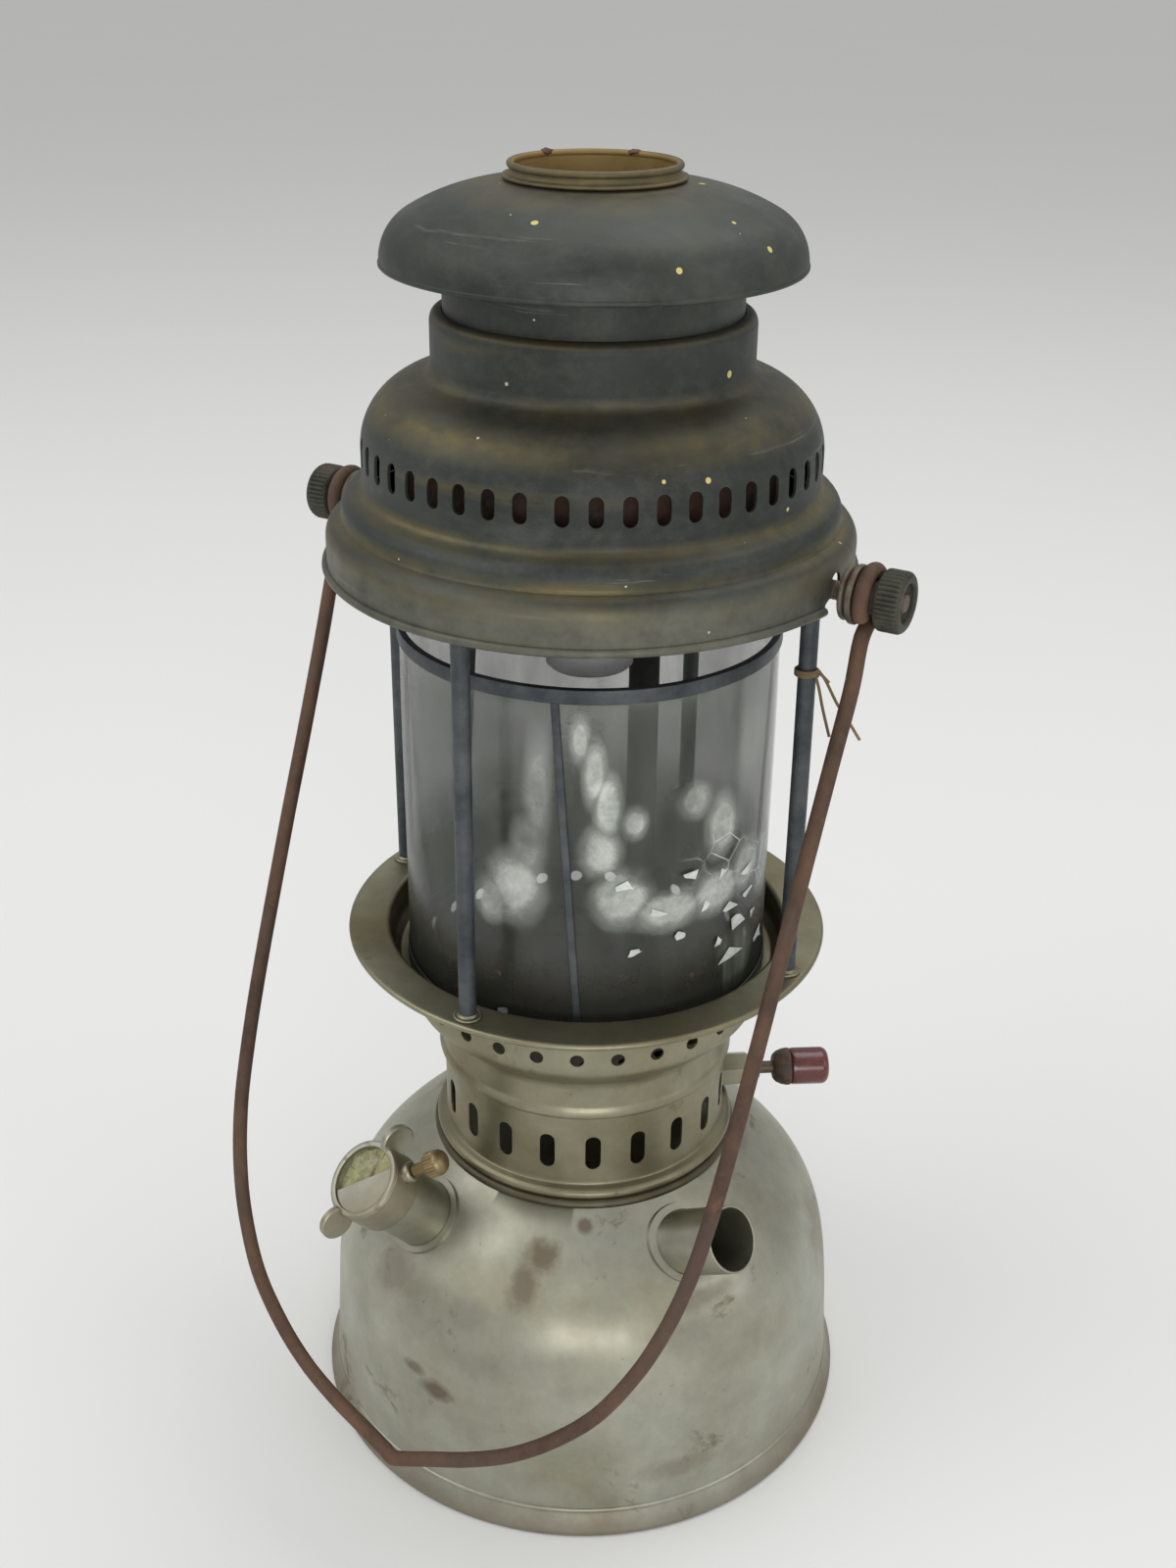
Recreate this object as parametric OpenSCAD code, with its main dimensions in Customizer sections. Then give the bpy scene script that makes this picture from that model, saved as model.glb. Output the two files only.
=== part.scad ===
// Kerosene pressure lantern with mica globe, wire bail and open pump tube.
// Millimetres. Z is up, the foot stands on z = 0, X runs through the two bail pivots.

/* [Tank] */
// Outer radius of the foot, half the base diameter
base_r = 87; // [80:0.5:95]
// Radius of the tank wall just above the foot
wall_r = 83.9; // [78:0.1:90]
// Height of the seam between foot and tank wall
seam_z = 9; // [6:0.5:14]
// Sheet thickness of the tank
tank_t = 1; // [0.6:0.1:2]
// Height where the tank wall starts to round over
shoulder_z = 42.5; // [35:0.5:50]
// Radius of the flat tank top
top_r = 48.2; // [45:0.1:52]

/* [Pump tube] */
// Inner radius of the pump tube
pump_bore_r = 9.3; // [8:0.1:11]
// Wall thickness of the pump tube
pump_t = 0.7; // [0.5:0.1:1.5]
// Length of tube that stands out of the tank
pump_out = 18.6; // [10:0.1:30]
// Length of tube inside the tank
pump_in = 124; // [90:1:130]
// Bearing of the place where the tube leaves the tank
pump_az = -28.5; // [-60:0.5:0]
// Bearing the tube points to
pump_dir = -8.9; // [-40:0.1:20]
// Rise of the tube above level
pump_tilt = 31.4; // [20:0.1:45]
// Distance of that place from the lantern's axis
pump_r0 = 60.5; // [55:0.5:66]

/* [Filler and gauge] */
// Bearing of the filler
fill_az = -113.3; // [-140:0.1:-90]
// Rise of the filler's axis above level
fill_tilt = 48; // [35:0.5:60]
// Distance of the filler from the lantern's axis at the tank skin
fill_r0 = 62; // [56:0.5:66]
// Outer radius of the filler tube
neck_r = 10.4; // [9:0.1:12]
// Height of the filler tube above the tank skin
neck_h = 25; // [20:0.5:30]
// Outer radius of the filler cap
cap_r = 12.3; // [11:0.1:15]
// Height of the cap's lower edge above the tank skin
cap_low = 20; // [15:0.5:24]
// Height of the cap's upper edge above the tank skin
cap_high = 31; // [28:0.5:36]
// Radius of each round grip ear
ear_r = 5.3; // [4:0.1:7]
// Gap between cap and tube on the radius
cap_gap = 0.3; // [0.1:0.05:0.5]

/* [Drum and gallery] */
// Outer radius of the slotted drum
drum_r = 44.5; // [42:0.1:48]
// Sheet thickness of drum and gallery
sheet_t = 0.7; // [0.5:0.1:1.2]
// Top of the drum
drum_top = 131.5; // [125:0.5:138]
// Height of the middle of the drum slots
drum_slot_z = 114; // [110:0.5:118]
// Height of one drum slot
drum_slot_h = 12; // [8:0.5:14]
// Width of one drum slot
drum_slot_w = 4.7; // [3:0.1:6]
// Height of the ring of round holes
hole_z = 154.6; // [153:0.1:156.5]
// Radius of a round hole
hole_r = 2.05; // [1.2:0.05:2.5]
// Height of the ledge that carries the globe
seat_z = 161; // [159.5:0.5:163]
// Height of the flat collar
collar_z = 172.4; // [165:0.1:180]
// Width of the collar from cup wall to rolled edge
collar_r = 12.6; // [10:0.1:16]
// Room between the mica sheet and the cup wall inside the collar
collar_in = 5.8; // [4:0.1:8]

/* [Frame] */
// Distance of the four posts outside the cup wall
post_pcd_r = 7; // [5:0.1:9]
// Radius of a post
post_r = 2.5; // [2:0.1:3]
// Height of the upper frame ring
ring_z = 299; // [295:0.5:300]

/* [Bail] */
// Height of the bail pivot
pivot_z = 291.7; // [285:0.1:295]
// Radius of the bail rod
bail_r = 2.15; // [1.5:0.05:3]
// Distance of the bail eyes outside the hood's wide band
bail_x = 9.9; // [9:0.1:12]
// Length of the bail from pivot to lowest point
bail_drop = 272; // [260:1:300]
// Lean of the bail from plumb as it stands
bail_lean = 24.3; // [20:0.1:40]
// Inward lean of each leg
leg_lean = 1.8; // [0:0.1:4]
// Radius of the upper bend of the bail
bend_a_r = 66; // [50:1:80]
// Angle of the upper bend
bend_a = 45; // [30:1:60]
// Radius of the lower bend
bend_b_r = 120; // [80:1:160]
// Angle of the lower bend
bend_b = 23; // [10:1:30]
// Radius of the studs the bail turns on
stud_r = 2.6; // [2:0.1:3]
// Radius of the knurled nuts
nut_r = 8.3; // [7:0.1:10]
// Running clearance of turning pieces on the radius
run_gap = 0.08; // [0.02:0.01:0.1]

/* [Globe] */
// Outer radius of the mica sheet
globe_r = 54.4; // [52:0.1:56]
// Thickness of the mica sheet
globe_t = 0.5; // [0.3:0.1:1]
// Height of the globe with its rings
globe_h = 109.4; // [104:0.1:118]
// Height of the upper metal ring
globe_ring_h = 4.1; // [3:0.1:6]

/* [Burner] */
// Distance of the vaporizer from the axis
vap_off = 18.05; // [18:0.05:22]
// Bearing of the vaporizer
vap_az = 55.6; // [40:0.1:70]
// Radius of the vaporizer tube
vap_r = 4.5; // [3.5:0.1:5]
// Radius of the clay nozzle
nozzle_r = 12.6; // [11:0.1:12.8]
// Height of the nozzle's lower face
nozzle_z = 255.6; // [250:0.1:260]

/* [Fuel control] */
// Height of the control spindle
spin_z = 106.6; // [104:0.1:110]
// Bearing the spindle points to
spin_az = 34.3; // [20:0.1:50]
// Radius of the spindle
spin_r = 2; // [1.5:0.1:2.5]
// Throw of the crank pin
crank_e = 2; // [1.5:0.1:2.2]
// Radius of the control knob
knob_r = 6.1; // [5:0.1:8]
// Length of the control knob
knob_l = 18.2; // [14:0.1:22]

/* [Hood] */
// Distance of the hood's wide band outside the circle of posts
band_r = 6.3; // [5:0.1:8]
// Sheet thickness of the hood
hood_t = 0.8; // [0.5:0.1:1.5]
// Radius of the dome
dome_r = 63; // [60:0.1:66]
// Height where the dome starts to round over
dome_z = 320.5; // [316:0.5:324]
// Width of one hood slot
hood_slot_w = 3.75; // [2:0.05:5]
// Height of one hood slot
hood_slot_h = 7.9; // [5:0.1:10]
// Number of hood slots
hood_slots = 47; // [30:1:47]
// Step from the dome's wall in to the upper band
upper_in = 19.5; // [18:0.1:21]
// Step from the upper band in to the neck
neck_in = 3.5; // [2.5:0.1:5]
// Radius of the hood cap
hood_cap_r = 56; // [54:0.1:60]
// Radius of the chimney ring's wall
chimney_r = 22; // [20:0.1:24]

/* [Hidden] */
$fn = 64;

// Arc points without the first one, so arcs chain without doubled points.
function arcp(c, r, a0, a1, n) = [for (i = [1:n]) c + r * [cos(a0 + (a1 - a0) * i / n),
  sin(a0 + (a1 - a0) * i / n)]];
// Sheet profile: the path and its copy shifted by t to the left of the path.
function unit2(v) = v / norm(v);
function along(p, i) = unit2(p[min(i + 1, len(p) - 1)] - p[max(i - 1, 0)]);
function shifted(p, t) = [for (i = [0:len(p) - 1]) let (d = along(p, i)) p[i] + t * [-d[1], d[0]]];
function backward(p) = [for (i = [len(p) - 1:-1:0]) p[i]];
function sheet(p, t) = concat(p, backward(shifted(p, t)));

// Tank outline: straight wall, three arcs, straight cone, flat top. o shifts it outward.
n0 = atan((wall_r - 82) / (shoulder_z - seam_z));
s0 = [82, shoulder_z];
c1 = s0 - 75 * [cos(n0), sin(n0)];
c2 = c1 + (75 - 42) * [cos(18), sin(18)];
c3 = c2 + (42 - 110) * [cos(40), sin(40)];
e3 = c3 + 110 * [cos(52), sin(52)];
tank_top = e3[1] + (e3[0] - top_r) / sin(52) * cos(52);
function cone_end(o) = let (e = c3 + (110 + o) * [cos(52), sin(52)], t = (tank_top + o - e[1]) / cos(52))
  [e[0] - t * sin(52), tank_top + o];
function tank_line(o) = concat([[wall_r + o, seam_z], s0 + o * [cos(n0), sin(n0)]],
  arcp(c1, 75 + o, n0, 18, 4), arcp(c2, 42 + o, 18, 40, 6), arcp(c3, 110 + o, 40, 52, 5), [cone_end(o)]);
function tank_z(r) = c3[1] + sqrt(110 * 110 - (r - c3[0]) * (r - c3[0]));

cup_r = globe_r + collar_in;
rim_r = cup_r + collar_r;
post_x = cup_r + post_pcd_r;
hood_r = post_x + band_r;
eye_x = hood_r + bail_x;
upper_r = dome_r - upper_in;
hood_neck_r = upper_r - neck_in;
ring_in = post_x - 4.4;

vap_x = vap_off * cos(vap_az);
vap_y = vap_off * sin(vap_az);
pump_r = pump_bore_r + pump_t;
valve_l = 11;
vent_l = 26;
bush_r = 4.62;
eye_r = bush_r + run_gap + bail_r + 0.1;
nut_x0 = eye_x + bail_r + 0.85;
globe_z = seat_z + 0.1;
globe_top = globe_z + globe_h;
gland_t0 = drum_r - 16.1;
gland_t1 = gland_t0 + 13.2;
knob_t0 = gland_t1 + 4.6;

module tank_solid(o) {
  rotate_extrude() polygon(concat([[0, seam_z]], tank_line(o), [[0, tank_top + o]]));
}

module at_pump() {
  translate([pump_r0 * cos(pump_az), pump_r0 * sin(pump_az), tank_z(pump_r0)])
    rotate([0, 90 - pump_tilt, pump_dir])
      children();
}

module at_fill() {
  translate([fill_r0 * cos(fill_az), fill_r0 * sin(fill_az), tank_z(fill_r0)])
    rotate([0, 90 - fill_tilt, fill_az])
      children();
}

// Vent screw axis: sideways out of the cap.
module at_vent() {
  at_fill() translate([0, 0, vent_l]) rotate([0, 90, 140]) children();
}

module at_vap() {
  translate([vap_x, vap_y, 0]) children();
}

// Spindle axis through the vaporizer: local z points outward, local -x points up.
module at_spin() {
  translate([vap_x, vap_y, spin_z]) rotate([0, 90, spin_az]) children();
}

module ring_hull(r1, r0, z0, z1) {
  translate([0, 0, z0]) difference() {
    cylinder(r = r1, h = z1 - z0);
    translate([0, 0, -1]) cylinder(r = r0, h = z1 - z0 + 2);
  }
}

module stadium(w, h) {
  square([w, h - w], center = true);
  translate([0, (h - w) / 2]) circle(d = w);
  translate([0, -(h - w) / 2]) circle(d = w);
}

// Upright slot cut radially at bearing a.
module slot_cut(a, r, z, w, h, depth) {
  rotate([0, 0, a]) translate([r, 0, z]) rotate([90, 0, 90])
    linear_extrude(height = depth, center = true) stadium(w, h);
}

module hexagon_rod(af, h) {
  cylinder(r = af / 2 / cos(30), h = h, $fn = 6);
}

// ---------- tank ----------

module tank_shell() {
  color("silver") difference() {
    rotate_extrude() polygon(concat(tank_line(0), [[4.3, tank_top], [4.3, tank_top - tank_t]],
      backward(tank_line(-tank_t))));
    at_pump() translate([0, 0, -20]) cylinder(r = pump_r + 0.1, h = 45);
    at_fill() translate([0, 0, -12]) cylinder(r = neck_r + 0.1, h = 24);
  }
}

module tank_base() {
  b = base_r;
  z = seam_z - 9;
  color("silver") rotate_extrude() polygon([[wall_r - 1, seam_z], [wall_r, seam_z],
    [wall_r + 0.6, seam_z - 0.6], [wall_r + 0.5, seam_z - 1.5], [b - 1.8, z + 5.4], [b - 0.6, z + 3],
    [b, 1.6], [b - 0.3, 0.6], [b - 1, 0], [b - 3.6, 0], [b - 4.3, 0.6], [b - 4.7, z + 2.6],
    [b - 6.5, z + 3.8], [b * 0.69, z + 5.6], [b * 0.46, z + 6.8], [b * 0.23, z + 7.5], [0, z + 7.8],
    [0, z + 8.8], [b * 0.23, z + 8.5], [b * 0.46, z + 7.8], [b * 0.69, z + 6.6], [b - 6.5, z + 4.9],
    [b - 5.2, z + 5.4], [wall_r - 1.5, seam_z - 2]]);
}

module tank_collar() {
  r = drum_r;
  color("dimgray") rotate_extrude() polygon([[r + 0.4, tank_top], [r + 3.2, tank_top],
    [r + 4, tank_top + 0.7], [r + 4.1, tank_top + 1.3], [r + 3.7, tank_top + 2],
    [r + 2.9, tank_top + 2.4], [r + 0.4, tank_top + 2.4]]);
}

module tank_socket() {
  color("goldenrod") ring_hull(5.9, 4, tank_top, 101);
}

module pickup_tube() {
  color("goldenrod") rotate_extrude() polygon([[1.6, 11.5], [2.4, 11.5], [2.4, 97.3], [3.85, 98],
    [3.85, 101.05], [1.6, 101.05]]);
}

module pump_tube() {
  color("silver") at_pump() difference() {
    translate([0, 0, -pump_in]) cylinder(r = pump_r, h = pump_in + pump_out);
    translate([0, 0, valve_l - pump_in]) cylinder(r = pump_bore_r, h = pump_in + pump_out - valve_l + 1);
    translate([0, 0, -pump_in - 1]) cylinder(r = pump_bore_r - 0.9, h = valve_l + 2);
  }
}

module pump_flange() {
  color("silver") difference() {
    intersection() {
      tank_solid(1.1);
      at_pump() translate([0, 0, -12]) cylinder(r = pump_r + 2.2, h = 24);
    }
    tank_solid(0.03);
    at_pump() translate([0, 0, -20]) cylinder(r = pump_r + 0.1, h = 45);
  }
}

module check_valve() {
  color("goldenrod") at_pump() translate([0, 0, -pump_in]) difference() {
    union() {
      translate([0, 0, 0.4]) cylinder(r = pump_bore_r - 1, h = valve_l - 4.4);
      translate([0, 0, -4]) cylinder(r = 4, h = 5);
      translate([0, 0, valve_l - 4]) cylinder(r = 4.5, h = 3.5);
    }
    translate([0, 0, -5]) cylinder(r = 1, h = valve_l + 6);
  }
}

module filler_neck() {
  color("silver") at_fill() difference() {
    translate([0, 0, -3]) cylinder(r = neck_r, h = neck_h + 3);
    translate([0, 0, -4]) cylinder(r = neck_r - 0.9, h = neck_h + 5);
  }
}

module filler_flange() {
  color("silver") difference() {
    intersection() {
      tank_solid(1.5);
      at_fill() translate([0, 0, -10]) cylinder(r = neck_r + 2, h = 20);
    }
    tank_solid(0.03);
    at_fill() translate([0, 0, -12]) cylinder(r = neck_r + 0.1, h = 24);
  }
}

// ---------- filler cap and gauge ----------

module cap_gasket() {
  color("#3a302a") at_fill() ring_hull(neck_r + 0.1, 8.4, neck_h + 0.05, neck_h + 1.55);
}

module filler_cap() {
  color("silver") at_fill() difference() {
    union() {
      translate([0, 0, cap_low]) cylinder(r = cap_r, h = cap_high - cap_low);
      difference() {
        for (s = [-1, 1]) translate([s * (cap_r + 2.6), 0, cap_high - 1.3]) rotate([90, 0, 0])
          cylinder(r = ear_r, h = 2.2, center = true);
        translate([0, 0, cap_high - 12]) cylinder(r = cap_r - 0.6, h = 12.95);
        translate([0, 0, cap_high]) cylinder(r = cap_r + 0.1, h = 0.95);
      }
      translate([0, 0, vent_l]) rotate([0, 90, 140]) translate([0, 0, 10]) cylinder(r = 3, h = 4.6);
    }
    translate([0, 0, cap_low - 1]) cylinder(r = neck_r + cap_gap, h = neck_h + 2.6 - cap_low);
    translate([0, 0, cap_low - 8]) cylinder(r = neck_r + cap_gap, h = 8.5);
    translate([0, 0, neck_h + 2.8]) cylinder(r = 10.9, h = 6);
    translate([0, 0, vent_l]) rotate([0, 90, 140]) translate([0, 0, 9]) cylinder(r = 1.3, h = 7);
  }
}

module gauge_dial() {
  color("#a8a850") at_fill() ring_hull(10.7, 0.45, neck_h + 2.9, neck_h + 3.4);
}

module gauge_pointer() {
  color("#7a2a1c") at_fill() translate([0, 0, neck_h + 3.6]) rotate([0, 0, 202]) {
    translate([0, 0, -0.55]) cylinder(r = 0.35, h = 0.8);
    cylinder(r = 1.1, h = 0.7);
    translate([-2.2, -0.35, 0.1]) cube([10.6, 0.7, 0.4]);
  }
}

module gauge_glass() {
  color("#c8d8c0", 0.4) at_fill() translate([0, 0, neck_h + 4.8]) cylinder(r = 10.7, h = 0.7);
}

module gauge_cover() {
  color("silver") at_fill() translate([0, 0, neck_h + 5.6]) intersection() {
    cylinder(r = 10.7, h = 0.5);
    rotate([0, 0, 52]) translate([0, -12, -1]) cube([12, 24, 3]);
  }
}

module gauge_bezel() {
  color("silver") at_fill() rotate_extrude() polygon([[cap_r - 1.35, cap_high + 0.05],
    [cap_r, cap_high + 0.05], [cap_r, cap_high + 0.5], [cap_r - 0.4, cap_high + 0.9],
    [cap_r - 2.1, cap_high + 0.9], [cap_r - 2.1, cap_high + 0.4], [cap_r - 1.35, cap_high + 0.4]]);
}

module vent_screw() {
  color("goldenrod") at_vent() difference() {
    rotate_extrude() polygon(concat([[0, 11.2], [1.2, 11.2], [1.2, 14.8], [1.9, 14.8], [1.9, 19.8],
      [3.4, 19.8], [4, 20.4], [4, 23.2]], arcp([0.8, 23.2], 3.2, 0, 84, 6), [[0, 26.4]]));
    for (i = [0:17]) rotate([0, 0, i * 20]) translate([4.05, 0, 19]) cylinder(r = 0.3, h = 5, $fn = 4);
  }
}

// ---------- drum and gallery ----------

module vent_drum() {
  z0 = tank_top + 2.4;
  p = [[drum_r + 2.3, z0], [drum_r + 3.1, z0 + 1.1], [drum_r + 3.1, z0 + 2.1], [drum_r + 2.1, z0 + 3.2],
    [drum_r + 0.2, z0 + 3.9], [drum_r, z0 + 4.6], [drum_r, drum_top]];
  color("#a59f88") difference() {
    rotate_extrude() polygon(sheet(p, sheet_t));
    for (i = [0:19]) if (i != 5 && i != 6)
      slot_cut(-57 + 18 * i, drum_r, drum_slot_z, drum_slot_w, drum_slot_h, 8);
    at_spin() translate([0, 0, 20]) cylinder(r = 6.6, h = 14);
  }
}

module gallery() {
  d = drum_r;
  t = drum_top;
  s = seat_z;
  g = globe_r + 0.4;
  m = (drum_r + g) / 2;
  c = cup_r;
  e = rim_r;
  z = collar_z;
  p = [[d + 0.15, t - 4.2], [d + 1, t - 4.3], [d + 1.7, t - 3.6], [d + 1.8, t - 2.5], [d + 1.5, t - 1.3],
    [d + 0.9, t - 0.3], [d + 1.1, t + 7], [d + 1.9, t + 9.4], [m + 0.5, t + 12.8], [g - 1.6, t + 15.7],
    [g - 0.6, t + 17.5], [g - 0.3, t + 19.5], [g, s - 1.4], [g + 0.5, s - 0.9], [c - 2.5, s - 0.9],
    [c + 0.3, s + 1.9], [c + 0.8, s + 3.1], [c + 0.8, z - 1.4], [c + 1.4, z - 0.8], [e - 2.4, z - 0.8],
    [e - 2, z - 1.8], [e - 1, z - 2.2], [e - 0.2, z - 1.7], [e, z - 0.9], [e - 0.5, z - 0.2], [e - 1.4, z],
    [c + 0.8, z], [c, z - 0.7], [c, s + 3.4], [c - 0.5, s + 2.3], [c - 2.8, s], [g - 0.8, s],
    [g - 1.1, t + 19.7], [g - 1.4, t + 18], [g - 2.2, t + 16.4], [m - 0.1, t + 13.4], [d + 1.3, t + 10],
    [d + 0.35, t + 7.2], [d + 0.15, t + 1.5]];
  color("#a59f88") difference() {
    rotate_extrude() polygon(p);
    for (i = [0:28]) rotate([0, 0, 360 * i / 29 - 63]) translate([globe_r - 5, 0, hole_z]) rotate([0, 90, 0])
      cylinder(r = hole_r, h = 8);
  }
}

module air_plate() {
  z = drum_top + 13.6;
  color("#8a8470") difference() {
    translate([0, 0, z]) cylinder(r = (drum_r + globe_r) / 2 + 0.05, h = 0.7);
    at_vap() translate([0, 0, z - 1]) cylinder(r = 13.4, h = 3);
    for (i = [0:23]) rotate([0, 0, i * 15]) translate([44, 0, z - 1]) cylinder(r = 2, h = 3);
    for (i = [6:17]) rotate([0, 0, i * 20]) translate([30, 0, z - 1]) cylinder(r = 2.5, h = 3);
  }
}

// ---------- frame ----------

module frame_posts() {
  color("#3c4042") for (a = [0:90:270]) rotate([0, 0, a]) translate([post_x, 0, collar_z]) {
    cylinder(r1 = 4.4, r2 = 3.6, h = 0.9);
    cylinder(r = post_r, h = (a == 0 || a == 180 ? pivot_z - 4.7 : ring_z) - collar_z);
  }
}

module frame_ring() {
  color("#3c4042") difference() {
    union() {
      ring_hull(post_x + 2.2, ring_in, ring_z, ring_z + 1.5);
      for (a = [0, 180]) rotate([0, 0, a]) translate([ring_in, -5, pivot_z - 4.7])
        cube([7.4, 10, ring_z - pivot_z + 5.2]);
    }
    for (a = [0, 180]) rotate([0, 0, a]) translate([ring_in - 2.8, 0, pivot_z]) rotate([0, 90, 0])
      cylinder(r = stud_r + 0.05, h = 14);
  }
}

module bail_studs() {
  color("#6b6350") for (a = [0, 180]) rotate([0, 0, a]) translate([ring_in + 0.6, 0, pivot_z])
    rotate([0, 90, 0]) {
    cylinder(r = stud_r, h = nut_x0 + 5.8 - ring_in);
    translate([0, 0, nut_x0 + 5.8 - ring_in]) cylinder(r1 = stud_r, r2 = stud_r - 0.5, h = 0.5);
  }
}

module bail_bushings() {
  h = eye_x - bail_r - 4.9;
  color("#5b5a48") for (a = [0, 180]) rotate([0, 0, a]) translate([0, 0, pivot_z]) rotate([0, 90, 0])
    rotate_extrude() polygon([[stud_r + 0.06, h], [5.6, h], [7.2, h + 0.65], [7.4, h + 1.45],
      [6.2, h + 1.85], [6.2, h + 2.55], [8, h + 2.85], [8, h + 4.55], [bush_r, h + 4.55],
      [bush_r, nut_x0 - 0.3], [stud_r + 0.06, nut_x0 - 0.3]]);
}

module bail_nut(a) {
  color("#4c5148") rotate([0, 0, a]) translate([nut_x0, 0, pivot_z]) rotate([0, 90, 0]) difference() {
    rotate_extrude() polygon([[stud_r + run_gap, 0], [6.8, 0], [7.8, 0.5], [nut_r, 1.1], [nut_r, 6.2],
      [7.8, 7], [7, 7.4], [5.4, 7.4], [5.2, 5.8], [stud_r + run_gap, 5.8]]);
    for (i = [0:35]) rotate([0, 0, i * 10]) translate([nut_r + 0.1, 0, -1])
      cylinder(r = 0.45, h = 10, $fn = 4);
  }
}

module bail_nut_right() {
  bail_nut(0);
}

module bail_nut_left() {
  bail_nut(180);
}

// Bail in its own plane: x sideways, -z down, then leaned over about the pivot axis.
ang_c = leg_lean + bend_a + bend_b;
kx = bend_a_r * (cos(leg_lean + bend_a) - cos(leg_lean)) + bend_b_r * (cos(ang_c) - cos(leg_lean + bend_a));
kz = -bend_a_r * (sin(leg_lean + bend_a) - sin(leg_lean)) - bend_b_r * (sin(ang_c) - sin(leg_lean + bend_a));
cot_c = cos(ang_c) / sin(ang_c);
leg_l = (bail_drop + kz - (eye_x + kx) * cot_c) / (cos(leg_lean) - sin(leg_lean) * cot_c);
leg_end = [eye_x - leg_l * sin(leg_lean), -leg_l * cos(leg_lean)];
ctr_a = leg_end + bend_a_r * [-cos(leg_lean), sin(leg_lean)];
dir_b = [cos(leg_lean + bend_a), -sin(leg_lean + bend_a)];
ctr_b = ctr_a + (bend_a_r - bend_b_r) * dir_b;
low_end = ctr_b + bend_b_r * [cos(ang_c), -sin(ang_c)];

// One curved length of rod, a touch short at both ends.
module bend(c, r, a0, sweep) {
  g = 0.45 / r * 57.3;
  translate([c[0], 0, c[1]]) rotate([90, 0, 0]) rotate([0, 0, a0 + g]) rotate_extrude(angle = sweep - 2 * g)
    translate([r, 0]) circle(r = bail_r);
}

// Round joint between two lengths of rod.
module knuckle(c) {
  translate([c[0], 0, c[1]]) sphere(r = bail_r + 0.13);
}

module bail_half() {
  translate([eye_x, 0, 0]) rotate([0, 90, 0]) rotate_extrude() translate([eye_r, 0]) circle(r = bail_r + 0.1);
  translate([eye_x, 0, 0]) rotate([0, 180 + leg_lean, 0]) translate([0, 0, eye_r])
    cylinder(r = bail_r, h = leg_l - eye_r - 0.45);
  knuckle(leg_end);
  bend(ctr_a, bend_a_r, -leg_lean - bend_a, bend_a);
  knuckle(ctr_a + bend_a_r * dir_b);
  bend(ctr_b, bend_b_r, -ang_c, bend_b);
  knuckle(low_end);
  translate([low_end[0], 0, low_end[1]]) rotate([0, 180 + ang_c, 0]) translate([0, 0, 0.45])
    cylinder(r = bail_r, h = low_end[0] / sin(ang_c) - 0.9);
}

module bail() {
  $fn = 28;
  color("#6e4230") translate([0, 0, pivot_z]) rotate([-bail_lean, 0, 0]) {
    bail_half();
    mirror([1, 0, 0]) bail_half();
    knuckle([0, -bail_drop]);
  }
}

module wire_run(p, q) {
  v = q - p;
  translate(p) rotate([0, acos(v[2] / norm(v)), atan2(v[1], v[0])]) cylinder(r = 0.45, h = norm(v));
}

module tie_wire() {
  color("#7a4a2c") {
    for (z = [266.2, 267, 267.8]) translate([post_x, 0, z]) rotate_extrude()
      translate([post_r + 0.55, 0]) circle(r = 0.45);
    wire_run([post_x + post_r + 0.55, 0.1, 267.7], [post_x + 16.1, 1.6, 249.8]);
    wire_run([post_x + post_r + 0.55, -0.1, 266.3], [post_x + 8.4, -1.2, 250.2]);
  }
}

// ---------- burner ----------

module inner_casing() {
  color("#5a3c2c") rotate_extrude() {
    polygon(sheet([[50.7, ring_z + 2], [50.7, 328], [50.1, 329.8], [48.9, 331], [37, 340.5]], 0.7));
    translate([48, ring_z + 1.6]) square([post_x - 49.2, 0.7]);
  }
}

module burner_plate() {
  color("#6a4a36") difference() {
    translate([0, 0, ring_z + 2.35]) cylinder(r = 49.7, h = 0.8);
    translate([0, 0, ring_z]) cylinder(r = 13, h = 6);
    at_vap() translate([0, 0, ring_z]) cylinder(r = 5.2, h = 6);
    for (i = [0:5]) rotate([0, 0, 25.6 + 60 * i]) translate([34, 0, ring_z]) cylinder(r = 7, h = 6);
  }
}

module mixing_chamber() {
  z0 = ring_z + 3.2;
  color("#6a5a48") rotate_extrude() polygon([[11.75, 276.2], [12.7, 276.2], [12.7, z0], [14.6, z0],
    [14.6, z0 + 0.8], [9.4, z0 + 1.4], [6, z0 + 3.4], [6, z0 + 8], [5.1, z0 + 8], [5.1, z0 + 2.6],
    [8.6, z0 + 0.6], [11.75, z0 - 2]]);
}

module mixing_tube() {
  r = vap_off / 2;
  color("#6a5a48") rotate([0, 0, vap_az]) difference() {
    union() {
      translate([0, 0, 306]) cylinder(r = 5, h = 8);
      translate([vap_off, 0, 304.8]) cylinder(r = 5, h = 9.2);
      translate([r, 0, 314]) rotate([90, 0, 0]) rotate_extrude(angle = 180) translate([r, 0]) circle(r = 5);
    }
    translate([0, 0, 305]) cylinder(r = 4.2, h = 9);
    translate([vap_off, 0, 304]) cylinder(r = 4.2, h = 10);
    translate([r, 0, 314]) rotate([90, 0, 0]) rotate_extrude(angle = 180) translate([r, 0]) circle(r = 4.2);
  }
}

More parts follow.
